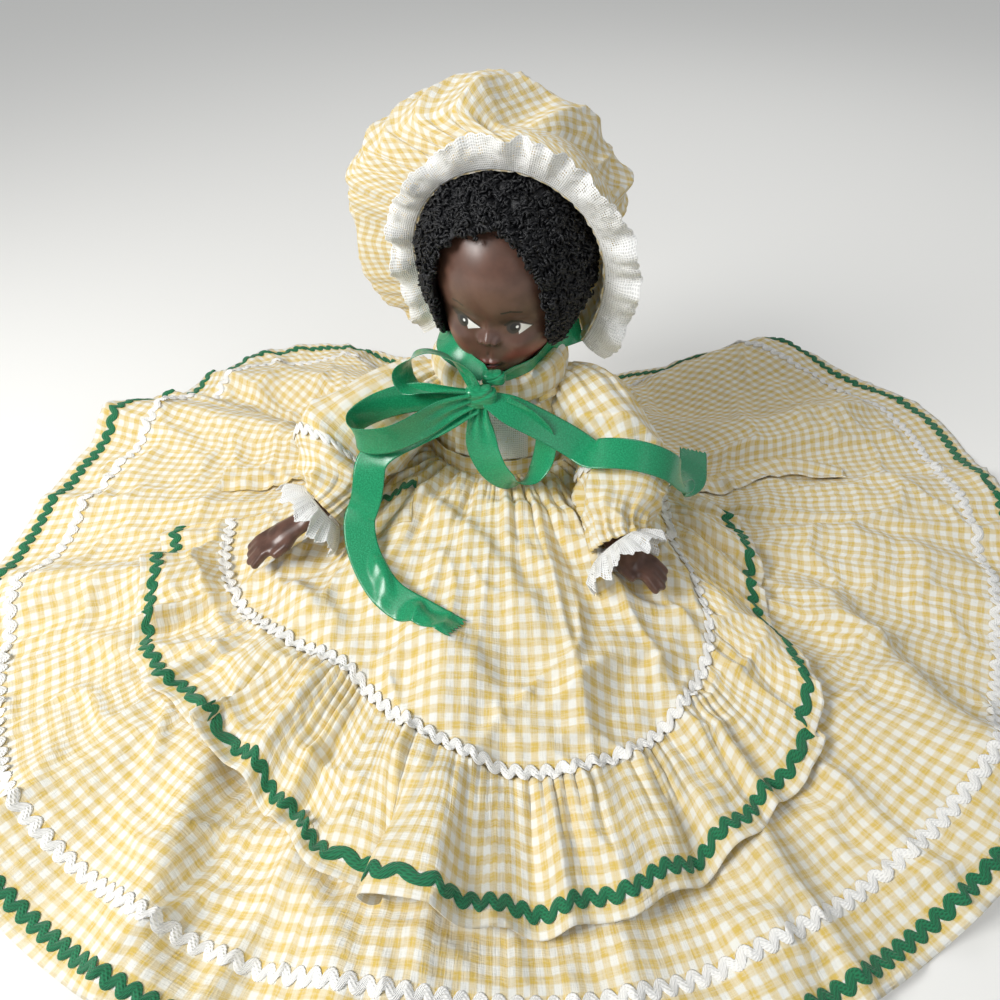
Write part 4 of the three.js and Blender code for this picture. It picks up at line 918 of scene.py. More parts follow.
def long_folds(x, y, folds):
    """Rise of single folds over places."""
    total = 0
    for start, end, wide, high in folds:
        length = math.dist(start, end)
        ahead = (end[0] - start[0]) / length, (end[1] - start[1]) / length
        along = ((x - start[0]) * ahead[0] + (y - start[1]) * ahead[1]) / length
        over = (y - start[1]) * ahead[0] - (x - start[0]) * ahead[1]
        over = over + wide * 0.35 * np.sin(along * 5 + wide)
        lean = np.where(over > 0, 0.75, 1.3) * wide * mix(0.6, 1.15, np.clip(along, 0, 1))
        ends = ease(along * 3 + 0.4) * ease((1.12 - along) * 3)
        total = total + high * bell(over / lean) * ends
    return total


def polar(turn, radius, height):
    """Places round the middle from their turn, radius and height."""
    return np.stack([radius * np.cos(turn), radius * np.sin(turn), height + 0 * radius], -1)


def skirt_start(turn):
    """Radius of the waist that the skirt is gathered to."""
    width, depth = body_profile(BODICE_LOW)
    return 1 / np.hypot(np.cos(turn) / (width + 2.1), np.sin(turn) / (depth + 2.1))


def skirt_hem(turn):
    """Radius of the skirt's hem."""
    return SKIRT_REACH * through(SKIRT_SHARES, (turn / FULL + 1) % 1, True)


def skirt_top(turn, radius):
    """Height of the skirt's upper face: a low tent with broad folds, gathers and creases."""
    reach = mix(SIDE_TENT, FRONT_TENT, ((1 - np.sin(turn)) / 2) ** TENT_FOCUS)
    start, hem = skirt_start(turn), skirt_hem(turn)
    slope = np.clip(1 - (radius - start) / (reach - start), 0, 1) ** TENT_POWER
    outward = np.clip((radius - start) / (hem - start), 0, 1)
    wave = np.cos(turn * FOLDS + FOLD_PHASE + 0.6 * np.sin(turn * 3))
    fold = np.clip(wave + 0.25, 0, 2) / 1.25
    height = WAIST_HEIGHT * slope + FOLD_HEIGHT * fold**1.6 * ease(outward * 1.5 - 0.25)
    x, y = radius * np.cos(turn), radius * np.sin(turn)
    height = height + 1.3 * long_folds(x, y, SKIRT_FOLDS) * ease(outward * 4)
    share = turn / FULL
    gathers = grain(share * 64, outward * 2.5, 3) * 0.9 + grain(share * 128, outward * 3, 4) * 0.7
    height = height + gathers * 2.2 * bell(outward / 0.35) * ease(outward * 14)
    bent = 1.9 * np.sin(turn * 2 + 1) + 1.1 * outward + 0.5 * np.sin(turn * 7)
    ridge = (1 - np.abs(np.sin(turn * 13 + bent))) ** 2.5
    uneven = 0.5 + 0.5 * grain(share * 32, outward * 2, 6)
    rays = grain(share * 64, outward * 1.6 + 5, 5)
    fine = (2.0 * ridge * uneven + 0.6 * rays + 0.5 * crumple(x, y, 16, 21)) * ease(outward * 3)
    fine = fine + (creases(x, y, 30, 11, 6) - 0.25) * ease(outward * 3 - 0.2)
    height = height + bpy.context.scene.doll_sizes.crease / MM * fine
    low = 0.35 + 0.5 * ease(outward * 1.2)
    least = low - CLOTH_UNDER + 0.35 * (1 + crumple(x, y, 9, 8, 2))
    return CLOTH_UNDER + np.maximum(height, least)


def apron_share(turn):
    """How far round the pinafore a turn is, from 0 to 1 over its width."""
    degrees = np.degrees(np.arctan2(np.sin(turn), np.cos(turn)))
    return (degrees - APRON_START) / (APRON_END - APRON_START)


def seam_reach(share):
    """Radius of the seam between the panel and the ruffle."""
    return APRON_REACH * through(APRON_SHARES, np.clip(share, 0, 1))


def ruffle_reach(share):
    """Radius of the ruffle's hem."""
    depth = RUFFLE_DEPTH * through(RUFFLE_SHARES, np.clip(share, 0, 1))
    return seam_reach(share) + depth + 1.3 * np.sin(share * RUFFLE_GATHERS * FULL * 1.02)


def panel_top(turn, radius):
    """Height of the pinafore's panel, gathered at the waist and tucked at its seam."""
    share = apron_share(turn)
    start = skirt_start(turn)
    outward = np.clip((radius - start) / (seam_reach(share) - start), 0, 1)
    x, y = radius * np.cos(turn), radius * np.sin(turn)
    gathers = grain(share * 44, outward * 2, 31) + 0.7 * grain(share * 90, outward * 3, 32)
    tucks = np.abs(np.sin(share * 58 + 3 * np.sin(share * 9))) ** 0.7
    puff = (1.8 * (1 + gathers) + 3.8 * tucks) * bell(outward / 0.34) * ease(outward * 12)
    ridges = 2 + 2.2 * crumple(x, y, 34, 41, 2) + 3.2 * creases(x, y, 40, 45, 7)
    ridges = ridges * ease((1 - outward) * 6)
    folds = 1.35 * long_folds(x, y, PANEL_FOLDS) * ease((1 - outward) * 5)
    seam = np.abs(np.sin(share * SEAM_TUCKS * math.pi / 2)) ** 0.7 * bell((1 - outward) / 0.06)
    rise = puff + (ridges + folds) * ease(outward * 4) + 0.9 * seam
    return skirt_top(turn, radius) + LAYER + rise


def panel_over(x, y):
    """Height of the panel over a place."""
    return panel_top(np.arctan2(y, x), np.hypot(x, y))


def ruffle_wave(share, outward):
    """Rise of the ruffle's gathers: tight tucks at the seam, broad waves at the hem."""
    drift = share + 0.011 * np.sin(share * 37) + 0.004 * np.sin(share * 91)
    broad = 0.5 - 0.5 * np.cos(drift * RUFFLE_GATHERS * FULL + 0.5 * outward)
    middle = drift * RUFFLE_GATHERS * 1.6 * math.pi + 1 + 0.6 * outward
    middle = np.abs(np.sin(middle)) ** 0.7 * ease(outward * 4) * ease((1.12 - outward) * 1.6)
    tucks = np.abs(np.sin(drift * SEAM_TUCKS * math.pi + 0.5 * np.sin(share * 70))) ** 0.6
    strong = 0.6 + 0.5 * grain(share * 26, outward * 0, 53)
    tucks = tucks * bell(outward / (0.3 + 0.3 * strong)) * ease(outward * 30 + 0.3)
    rise = (3.6 * tucks + 4.2 * middle) * strong
    return rise + 6.5 * broad**1.5 * ease(outward * 1.4) * (0.3 + 0.8 * strong)


def folded_hem(turn, radius, height):
    """Places of the ruffle after its hem is folded over itself in a few spots."""
    share = apron_share(turn)
    start = seam_reach(share)
    outward = ease((radius - start) / (ruffle_reach(share) - start) * 1.15 - 0.12)
    for spot, wide, high in HEM_FOLDS:
        place = (share - spot) / wide
        back = 0.55 * np.sin(np.clip(place, -1, 1) * math.pi) * outward
        turn = turn - back * wide * math.radians(APRON_END - APRON_START)
        height = height + high * outward * ease(place + 0.5) * ease((2.4 - place) / 1.4)
    return turn, height


def ruffle_top(turn, radius):
    """Height of the gathered ruffle."""
    share = apron_share(turn)
    start = seam_reach(share)
    outward = np.clip((radius - start) / (ruffle_reach(share) - start), 0, 1)
    x, y = radius * np.cos(turn), radius * np.sin(turn)
    rise = ruffle_wave(share, outward) + 0.7 * (1 + crumple(x, y, 12, 55, 2)) * ease(outward * 4)
    return skirt_top(turn, radius) + LAYER + rise


def lap_top(x, y):
    """Height of the clothes over a place."""
    turn, radius = np.arctan2(y, x), np.hypot(x, y)
    share = apron_share(turn)
    within = (share > 0) & (share < 1)
    height = np.where(radius < skirt_hem(turn), skirt_top(turn, radius), 0)
    height = np.where(within & (radius < ruffle_reach(share)), ruffle_top(turn, radius), height)
    height = np.where(within & (radius < seam_reach(share)), panel_top(turn, radius), height)
    across, along = np.abs(x - POCKET_PLACE[0]), np.abs(y - POCKET_PLACE[1])
    on_pocket = (across < POCKET_SIZE[0] / 2 + 1) & (along < POCKET_SIZE[1] / 2 + 1)
    return height + np.where(on_pocket, 2.2, 0)


def over_lap(points, rise):
    """Places kept a little above the lap."""
    held = points.copy()
    held[..., 2] = np.maximum(held[..., 2], lap_top(held[..., 0], held[..., 1]) + rise)
    return held


def arm_curve(side):
    """Places along an arm, from the shoulder to the palm."""
    shoulder, elbow, wrist, tip = (np.array(place, float) for place in ARM_PLACES[side])
    palm = unit(tip - wrist) * (np.linalg.norm(tip - wrist) - FINGER_REACH)
    return np.array([shoulder, elbow, (elbow + wrist) / 2, wrist, wrist + palm])


def frames(route, shares):
    """Places along a route with the directions ahead, to the side and up."""
    after = through(route, np.minimum(shares + 0.01, 1))
    ahead = unit(after - through(route, np.maximum(shares - 0.01, 0)))
    side = unit(np.cross(ahead, (0, 0, 1)))
    return through(route, shares), ahead, side, np.cross(side, ahead)


def tube(route, shares, turns, radii):
    """A grid round a route, turns by shares."""
    at, _, side, up = frames(route, shares)
    round_side = np.cos(turns)[:, None, None] * side[None]
    round_up = np.sin(turns)[:, None, None] * up[None]
    return at[None] + (round_side + round_up) * radii[..., None]


def head_matrix():
    """Rotation of the head: a nod and then a turn."""
    cos, sin = math.cos(HEAD_TURN), math.sin(HEAD_TURN)
    turn = np.array([(cos, -sin, 0), (sin, cos, 0), (0, 0, 1)])
    cos, sin = math.cos(HEAD_NOD), math.sin(HEAD_NOD)
    nod = np.array([(1, 0, 0), (0, cos, -sin), (0, sin, cos)])
    return turn @ nod


def from_head(points):
    """Places in the part's frame from places in the head's."""
    return np.asarray(points) @ head_matrix().T + np.array(HEAD_PLACE)


def opening(turn, y, distance):
    """A place on the bonnet's face opening, in the head's own frame."""
    high = np.where(np.sin(turn) > 0, OPENING_HIGH, OPENING_LOW)
    x = OPENING_X + np.cos(turn) * (OPENING_WIDTH + distance)
    return np.stack([x, y + 0 * turn, np.sin(turn) * (high + distance)], -1)


def head_point(turn, rise):
    """A place on the moulded head, in its own frame."""
    z = np.sin(rise) * np.where(np.sin(rise) > 0, HEAD_TOP, HEAD_BOTTOM)
    jaw = 1 - JAW_TAPER * ease(-z / HEAD_BOTTOM)
    reach = np.cos(rise) ** np.where(rise < 0, 0.84, 1)
    x = np.sin(turn) * reach * HEAD_WIDTH / 2 * jaw
    forward = JAW_FORWARD * ease((-z / HEAD_BOTTOM - JAW_START) / (1 - JAW_START))
    y = -np.cos(turn) * reach * HEAD_DEPTH / 2 * mix(1, jaw, 0.4) - forward
    side = np.abs(x)
    nose = 5.0 * bump(x, z - NOSE_HEIGHT + 1.0, 3.3, 3.0)
    nose = nose + 2.0 * bump(x, z - NOSE_HEIGHT - 3.5, 2.4, 4.2)
    wings = 2.4 * bump(side - 3.7, z - NOSE_HEIGHT + 2.2, 1.6, 1.7)
    nostrils = 1.6 * bump(side - 1.9, z - NOSE_HEIGHT + 4.4, 1.1, 0.8)
    cheeks = 2.8 * bump(side - EYE_SPACING * 0.64, z - CHEEK_HEIGHT, 9.5, 8.5)
    apples = 1.0 * bump(side - EYE_SPACING * 0.6, z - EYE_HEIGHT + 7.5, 5.5, 3.4)
    upper_lip = 1.5 * bump(side - 1.6, z - MOUTH_HEIGHT - 1.1, 3.0, 1.2)
    lower_lip = 1.9 * bump(x, z - MOUTH_HEIGHT + 1.9, 3.3, 1.4)
    parting = 1.3 * bump(x, z - MOUTH_HEIGHT + 0.25 + 0.02 * x**2, 5.4, 0.55)
    groove = 0.8 * bump(x, z - MOUTH_HEIGHT - 4.6, 1.1, 2.2) + parting
    corners = 1.0 * bump(side - 5.8, z - MOUTH_HEIGHT + 0.6, 1.5, 1.6)
    chin = 4.0 * bump(x, z - CHIN_HEIGHT, 9, 5.5) - 1.2 * bump(x, z - MOUTH_HEIGHT + 4.6, 6, 1.8)
    muzzle = 1.2 * bump(x, z - MOUTH_HEIGHT, 9, 6)
    eye_side = side - EYE_SPACING / 2
    hollow = 3.2 * bump(eye_side, z - EYE_HEIGHT - 1.0, 7.6, 5.2)
    ball = 2.4 * bump(eye_side, z - EYE_HEIGHT + 0.3, 5.6, 3.3)
    bridge = 1.2 * bump(x, z - EYE_HEIGHT, 3.5, 6)
    forehead = 2 * bump(x, z - FOREHEAD_HEIGHT, HEAD_WIDTH * 0.32, HEAD_TOP * 0.42)
    out = nose + wings + cheeks + apples + upper_lip + lower_lip + chin + muzzle + ball + forehead
    inward = groove + corners + hollow + bridge + nostrils
    return np.stack([x, y - ease(np.cos(turn) * 2) * (out - inward), z], -1)


# Pieces


def braid_edges(run):
    """Offsets of the braid's two edges: round outside each wave and sharp inside it."""
    sizes = bpy.context.scene.doll_sizes
    wave, half, swing = sizes.braid_wave / MM, sizes.braid_width / MM / 2, sizes.braid_swing / MM
    near = np.linspace(-half, half, 25)
    centre = swing * np.sin((run[:, None] + near) / wave * FULL)
    reach = np.sqrt(half**2 - near**2)
    return (centre - reach).min(1), (centre + reach).max(1)


def braid_grid(run):
    """Offsets, heights and flat map of a braid, along its run and across it."""
    low, high = braid_edges(run)
    across = np.linspace(0, 1, 7)
    offset = low[:, None] + (high - low)[:, None] * across
    dome = 0.6 * (1 - (2 * across - 1) ** 2) + 0.15
    wide = bpy.context.scene.doll_sizes.braid_width / MM
    return offset, dome + 0 * offset, flat_map(run[:, None], across * wide)


def rickrack(node, name, centre, width_way, rise_way, tone):
    """A wavy braid along places, with the direction of its width and of its top."""
    offset, dome, flat = braid_grid(lengths(centre, 0))
    points = centre[:, None] + width_way[:, None] * offset[..., None]
    points = points + rise_way[:, None] * dome[..., None]
    return node_piece(node, name, points, tone, flat, thickness=BRAID_THICKNESS)


def braid_on_lap(place, colour, turns, radius, top, rise=0.3, fold=None):
    """Rickrack along the hem of a sheet that lies on the lap."""
    offset, dome, flat = braid_grid(lengths(polar(turns, radius, 0 * turns), 0))
    around, middle = turns[:, None] + 0 * offset, radius[:, None] + 0 * offset
    reach = radius[:, None] + offset
    sits = np.maximum(top(around, reach), top(around, middle) - 0.3)
    if fold:
        around, sits = fold(around, reach, sits)
    node, name = f"{place}_{colour}_rickrack", f"{place}_{colour}_braid"
    points = polar(around, reach, sits + rise + dome)
    return node_piece(node, name, points, f"{colour}_braid", flat, thickness=BRAID_THICKNESS)


def even_turns(reach, start, end):
    """Turns spaced evenly along a curve round the middle."""
    turns = np.linspace(start, end, 6000)
    run = lengths(polar(turns, reach(turns), 0 * turns), 0)
    return np.interp(np.linspace(0, run[-1], int(run[-1] / TRIM_STEP)), run, turns)


def build_skirt():
    """The long skirt with its two rows of rickrack."""
    turns = np.arange(SKIRT_COLUMNS) / SKIRT_COLUMNS * FULL
    turn, row = grid(turns, np.linspace(0, 1, SKIRT_ROWS))
    radius = mix(skirt_start(turn), skirt_hem(turn), row)
    points = polar(turn, radius, skirt_top(turn, radius))
    round_run = lengths(round_again(points)[:, -1], 0)
    depth = lengths(points, 1)
    depth = round_again(depth - depth[:, -1:])
    flat = flat_map(round_run[:, None], depth)
    skirt = surface("skirt_cloth", points, "gingham", flat, True)
    turns = even_turns(skirt_hem, 0, FULL)
    trims = [
        braid_on_lap("skirt", colour, turns, skirt_hem(turns) - inset, skirt_top)
        for colour, inset in (("white", WHITE_INSET), ("green", GREEN_INSET))
    ]
    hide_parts("skirt")
    return ride_torso([skirt, *trims])


def build_apron():
    """The pinafore's gathered panel, its ruffle, their rickrack and the pocket."""
    turn, row = grid(np.radians(np.linspace(APRON_START, APRON_END, 360)), np.linspace(0, 1, 120))
    radius = mix(skirt_start(turn), seam_reach(apron_share(turn)), row)
    points = polar(turn, radius, panel_top(turn, radius))
    flat = flat_map(points[..., 0] * mix(1.5, 1, ease(row * 1.3)), points[..., 1])
    panel = node_piece("apron_panel", "apron_cloth", points, flat=flat)

    turn, row = grid(np.radians(np.linspace(APRON_START, APRON_END, 900)), np.linspace(0, 1, 46))
    share = apron_share(turn)
    radius = mix(seam_reach(share) + 0.6, ruffle_reach(share), row)
    folded, top = folded_hem(turn, radius, ruffle_top(turn, radius))
    points = polar(folded, radius, top)
    depth = lengths(points, 1)
    flat = flat_map(lengths(points[:, -1:], 0) * 1.02, depth - depth[:, -1:])
    ruffle = node_piece("apron_ruffle", "ruffle_cloth", points, flat=flat)

    start, end = math.radians(APRON_START), math.radians(APRON_END)
    turns = even_turns(lambda turn: seam_reach(apron_share(turn)), start, end)
    reach = seam_reach(apron_share(turns)) - 1
    seam = braid_on_lap("apron", "white", turns, reach, apron_and_ruffle, 0.9)
    turns = even_turns(lambda turn: ruffle_reach(apron_share(turn)), start, end)
    reach = ruffle_reach(apron_share(turns)) - GREEN_INSET
    edge = braid_on_lap("apron", "green", turns, reach, ruffle_top, fold=folded_hem)
    return ride_torso([panel, ruffle, seam, edge, *build_pocket()])


def build_pocket():
    """The patch pocket and the rickrack along its upper edge."""
    wide, deep = POCKET_SIZE
    across, down = grid(np.linspace(-0.5, 0.5, 50), np.linspace(-0.5, 0.5, 54))
    x = POCKET_PLACE[0] + across * wide * mix(1, 0.9, ease(0.5 - down))
    y = POCKET_PLACE[1] + down * deep
    edge_in = np.minimum(0.5 - np.abs(across), down + 0.5)
    swell = 1.5 * ease(edge_in * 5) + 0.4 * crumple(x, y, 8, 61, 2) * ease(edge_in * 8)
    points = np.stack([x, y, panel_over(x, y) + 0.5 + swell], -1)
    flat = flat_map(across * wide + 1.5, down * deep + 2)
    pocket = node_piece("pocket", "pocket_cloth", points, flat=flat)
    x = POCKET_PLACE[0] + np.linspace(-0.49, 0.49, 90) * wide
    y = POCKET_PLACE[1] + deep * 0.5 - 5 + 0 * x
    line = np.stack([x, y, panel_over(x, y) + 2.7], -1)
    back, up = (np.broadcast_to(way, line.shape) for way in ((0, 1, 0), (0, 0, 1)))
    trim = rickrack("pocket_rickrack", "pocket_braid", line, back, up, "green_braid")
    return [pocket, trim]


def apron_and_ruffle(turn, radius):
    """Height of whichever lies higher at the seam, the panel or the ruffle."""
    share = apron_share(turn)
    inside = panel_top(turn, np.minimum(radius, seam_reach(share)))
    outside = ruffle_top(turn, np.maximum(radius, seam_reach(share)))
    return np.maximum(inside, outside)


def body_cloth(node, name, shares, turns, distance, amount, seed, tone="gingham", closed=False):
    """A piece of cloth on the body, with small wrinkles."""
    turn, share = grid(turns, shares)
    wrinkle = crumple(turn * HIP_WIDTH / 2, share * NECK_HEIGHT, 11, seed)
    wrinkle = wrinkle + grain(turn / FULL * 64, share * 6, seed)
    points = on_body(share, turn, distance + amount * wrinkle)
    if closed:
        turn, share = round_again(turn, FULL), round_again(share)
    flat = flat_map(turn * HIP_WIDTH / 2 * 1.1, share * NECK_HEIGHT * 1.05)
    return node_piece(node, name, points, tone, flat, closed)


def flat_size(piece):
    """Width and length of a piece's flat cut, in metres."""
    layer = piece.data.uv_layers["flat"]
    values = np.empty(len(layer.data) * 2, np.float32)
    layer.data.foreach_get("uv", values)
    return tuple(float(part) * MM for part in np.ptp(values.reshape(-1, 2), axis=0))


def build_bodice():
    """Bodice, waistband, bib with its lace, collar, straps and ties."""
    turns = np.arange(160) / 160 * FULL
    shares = np.linspace(BODICE_LOW, BODICE_HIGH, 50)
    bodice = body_cloth(
        "bodice", "bodice_cloth", shares, turns, BODICE_OUT, 0.8, 71, closed=True
    )
    flat_size(bodice)
    shares = np.linspace(BAND_LOW, BAND_LOW + BAND_WIDTH, 12) / NECK_HEIGHT
    band = body_cloth(
        "waistband", "waistband_cloth", shares, turns, SECOND_OUT + 1.0, 0.7, 73, closed=True
    )
    flat_size(band)[0]
    shares, turns = np.linspace(0.6, 0.85, 30), front_turns(36)
    bib = body_cloth("bib", "bib_cloth", shares, turns, SECOND_OUT, 0.6, 75)
    flat_size(bib)
    shares, turns = np.linspace(0.61, 0.84, 30), front_turns(21)
    panel = body_cloth(
        "bib_lace", "bib_lace_cloth", shares, turns, SECOND_OUT + 1.2, 0.3, 77, "lace"
    )
    flat_size(panel)
    made = [bodice, band, bib, panel, build_collar()]
    for side, sign in SIDES:
        made += [build_strap(side, sign), build_tie(side)]
    return ride_torso(made)


def front_turns(degrees):
    """Turns to either side of the front."""
    return -math.pi / 2 + np.radians(np.linspace(-degrees, degrees, 60))


def build_collar():
    """The gathered collar, standing round the neck."""
    turn, share = grid(np.arange(360) / 360 * FULL, np.linspace(0, 1, 34))
    puff = np.sin(share * math.pi)
    wave = 2 * np.abs(np.sin(turn * 9 + 2 * np.sin(turn * 3) + share)) ** 0.7 - 1
    wave = 2.1 * wave * puff**0.6 + 1.8 * crumple(turn * 30, share * 18, 10, 79) * puff
    sideways = np.cos(turn) ** 2
    out = mix(0.6, 4.8, share) + (5.0 + 4.5 * sideways) * puff + wave
    points = on_body(mix(0.995, 0.87, share), turn, out)
    points[..., 2] += 1.5 * (1 - share) + 5.5 * sideways * puff
    flat = flat_map(round_again(turn, FULL) * 33, round_again(share) * 21)
    collar = node_piece("collar", "collar_cloth", points, flat=flat, closed=True)
    flat_size(collar)
    return collar


def build_strap(side, sign):
    """A shoulder strap of the pinafore."""
    steps, parts = np.linspace(0, 1, 90), np.linspace(-0.5, 0.5, 12)
    lines = [strap_line(sign, STRAP_X + STRAP_WIDTH * part, steps) for part in parts]
    points = np.stack(lines, 1)
    flat = flat_map(np.linspace(0, STRAP_WIDTH, 12), lengths(points, 0))
    strap = node_piece(f"strap_{side}", f"strap_cloth_{side}", points, flat=flat)
    size = 1.15 * STRAP_WIDTH * MM, flat_size(strap)[1]
    return strap


def strap_line(sign, x, steps):
    """One line of a shoulder strap, from the bib over the shoulder to the back."""
    shares = np.linspace(0.85, 1, 200)
    widths = body_profile(shares)[0]
    low = math.acos(min(1, x / body_profile(0.854)[0]))
    top = 0.62
    tilt = np.where(steps < top, mix(-low, low, steps / top), low)
    needed = x / np.cos(tilt)
    height = np.interp(-needed, -widths, shares)
    height = np.where(steps < top, height, mix(0.854, 0.605, (steps - top) / (1 - top)))
    reach = np.where(steps < top, tilt, np.arccos(np.minimum(1, x / body_profile(height)[0])))
    turn = reach if sign > 0 else math.pi - reach
    edge = abs(x - STRAP_X) / STRAP_WIDTH * 2
    roll = 1.6 * (1 - edge**2) + 0.5 * np.sin(steps * 60 + 2 * edge)
    return on_body(height, turn, SECOND_OUT + 0.9 + roll)


def build_tie(side):
    """A tie end lying on the skirt."""
    route = np.array(TIE_ROUTES[side], float)
    shares = np.linspace(0, 1, 180)
    at, ahead = frames(route, shares)[:2]
    across = unit(np.stack([-ahead[:, 1], ahead[:, 0], 0 * shares], -1))
    part = np.linspace(-0.5, 0.5, 22)
    run = lengths(at, 0)
    pinch = mix(0.55, 1, ease(shares * 5))[:, None]
    points = at[:, None] + across[:, None] * (part * TIE_WIDTH * pinch)[..., None]
    ridge = 0.5 + 0.5 * np.cos(part * 9 + 2 * np.sin(run / 31)[:, None])
    folds = 1.5 * ridge * (0.4 + 0.6 * np.cos(run / 23)[:, None] ** 2)
    points[..., 2] = lap_top(points[..., 0], points[..., 1]) + 1.2 + folds
    points[..., 2] += 0.5 * (1 + crumple(points[..., 0], points[..., 1], 10, 83))
    flat = flat_map(part * TIE_WIDTH, run[:, None])
    tie = node_piece(f"waist_tie_{side}", f"tie_cloth_{side}", points, flat=flat)
    flat_size(tie)
    return tie


def sleeve_radius(share):
    """Radius of a sleeve without its folds."""
    return rounded(SLEEVE_SHARES, share, 1, 0.02)


def puffed(points, route, share, side):
    """Places of a sleeve pushed out where the cloth stands up from the arm."""
    high, way = SLEEVE_PUFFS[side]
    way = unit(np.array(way, float))
    facing = np.clip(np.sum(unit(points - through(route, share)) * way, -1), 0, 1)
    amount = high * facing * np.exp(-(((share - 0.36) / 0.2) ** 2))
    return points + way * amount[..., None]


def sleeve_reach(side, sign, turn, share):
    """How far a sleeve's cloth stands from the arm's curve."""
    fine = 1 - 2 * np.abs(np.sin(turn * 9 + 1.5 * np.sin(turn * 2) + sign))
    puckers = 0.5 * fine + 0.6 * grain(turn / FULL * 64, share * 3, 91)
    gather = bell((share + 0.02) / 0.12) + bell((share - 0.74) / 0.16)
    run = share * SLEEVE_RUN[side]
    folds = 2.8 * crumple(turn * 18, run, 20, 93 + sign)
    folds = folds + 4.6 * (creases(turn * 18, run, 30, 95 + sign) - 0.3)
    folds = folds + np.clip(np.cos(turn * 3 + share * 5 + sign), 0, 1) ** 3 * 1.6
    soft = ease(share * 6) * ease((0.76 - share) * 7)
    return sleeve_radius(np.maximum(share, 0)) + puckers * 2.4 * gather + soft * folds


def build_sleeve(side, sign):
    """A puffed sleeve with its ring of rickrack and its gathered lace cuff."""
    route = arm_curve(side)
    turns = np.arange(150) / 150 * FULL
    shares = np.linspace(-SHOULDER_SHARE, WRIST_SHARE, 150)
    turn, share = grid(turns, shares)
    reach = sleeve_reach(side, sign, turn, share)
    inside = np.clip(-share / SHOULDER_SHARE, 0, 1)
    points = tube(route, np.maximum(shares, 0), turns, reach * mix(1, 0.74, inside**1.5))
    points = points + inside[..., None] * np.array((-sign * 9.0, 6.0, 3.0))
    points = over_lap(puffed(points, route, np.maximum(share, 0), side), 1.0)
    flat = flat_map(round_again(turn, FULL) * 21.5, round_again(share) * SLEEVE_RUN[side])
    sleeve = node_piece(
        f"sleeve_{side}", f"sleeve_cloth_{side}", points, flat=flat, closed=True
    )
    at_ring = reach[:, np.searchsorted(shares, SLEEVE_RING_SHARE)]
    ring = build_sleeve_ring(side, route, turns, at_ring)
    cuff = build_cuff(side, route)
    for piece in (sleeve, ring):
        through(route, 0.16) * MM
        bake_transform(piece)
    flat_size(sleeve)
    return [sleeve, ring, cuff]


def build_sleeve_ring(side, route, turns, reach):
    """A ring of rickrack round a sleeve, over its cloth's reach at each turn."""
    line = np.linspace(0, FULL, 601)
    shares = SLEEVE_RING_SHARE + np.array((-0.01, 0, 0.01))
    radii = np.interp(line, turns, reach, period=FULL)[:, None] + 0.7
    rings = tube(route, shares, line, radii)
    rings = over_lap(puffed(rings, route, np.broadcast_to(shares, rings.shape[:2]), side), 1.8)
    centre = rings[:, 1]
    ahead = unit(rings[:, 2] - rings[:, 0])
    out = unit(np.cross(ahead, np.roll(centre, -1, 0) - centre))
    out = out * np.sign(np.sum(out * (centre - centre.mean(0)), -1, keepdims=True))
    out[-1] = out[0]
    node, name = f"sleeve_rickrack_{side}", f"sleeve_braid_{side}"
    return rickrack(node, name, centre, ahead, out, "white_braid")


def build_cuff(side, route):
    """Gathered lace at the wrist."""
    wrist, tip = (np.array(place, float) for place in ARM_PLACES[side][2:])
    way = frames(route, np.array([WRIST_SHARE]))[1][0]
    ahead = unit(way + unit(tip - wrist))
    across = unit(np.cross(ahead, (0, 0, 1)))
    up = np.cross(across, ahead)
    turn, row = grid(np.arange(260) / 260 * FULL, np.linspace(0, 1, 26))
    flutes = np.cos(turn * 9 + 1.3 * np.sin(turn * 3)) + 0.4 * np.cos(turn * 19 + 2)
    scallop = np.abs(np.sin(turn * 24)) * 0.9
    radius = mix(*CUFF_RADII, row**0.9)
    reach = CUFF_LENGTH * row**1.1 + (flutes * 2.3 + scallop) * row + 0.6
    points = wrist + ahead * reach[..., None] + across * (np.cos(turn) * radius)[..., None]
    points = points + up * (np.sin(turn) * radius * mix(1, 0.82, row))[..., None]
    flat = flat_map(round_again(turn, FULL) * 24, round_again(row) * 13)
    cuff = node_piece(
        f"cuff_lace_{side}",
        f"cuff_lace_cloth_{side}",
        over_lap(points, 0.8),
        "lace",
        flat,
        True,
        LACE_THICKNESS,
        body=f"arm_{side}",
    )
    flat_size(cuff)
    return cuff


def build_sleeves():
    """Both sleeves with their rickrack and cuffs."""
    return [piece for side, sign in SIDES for piece in build_sleeve(side, sign)]


def softened_piece(node, name, body, tone, voxel, smooth, swell, fill):
    """A softened solid in place of its node. How full it is stuffed (fill) is not used."""
    piece = softened(node, name, tone, voxel, smooth, swell)
    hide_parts(node)
    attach(piece, body)
    return piece


def build_limbs():
    """Moulded limbs and the stuffed cloth body. Threads and buttons keep their solids."""
    made = []
    for side, _ in SIDES:
        for node, name, body, *values in LIMBS:
            names = (f"{part}_{side}" for part in (node, name, body))
            made.append(softened_piece(*names, *values))
    made.append(softened_piece("torso", "stuffed_torso", "torso", "body", 1.2, 8, 0, 0.8))
    for tie in ("neck_tie", "elbow_tie_left", "elbow_tie_right", "knee_tie_left", "knee_tie_right"):
        dress(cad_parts[tie], "thread")
    for index in range(3):
        dress(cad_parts[f"back_button_{index + 1}"], "button")
    return made


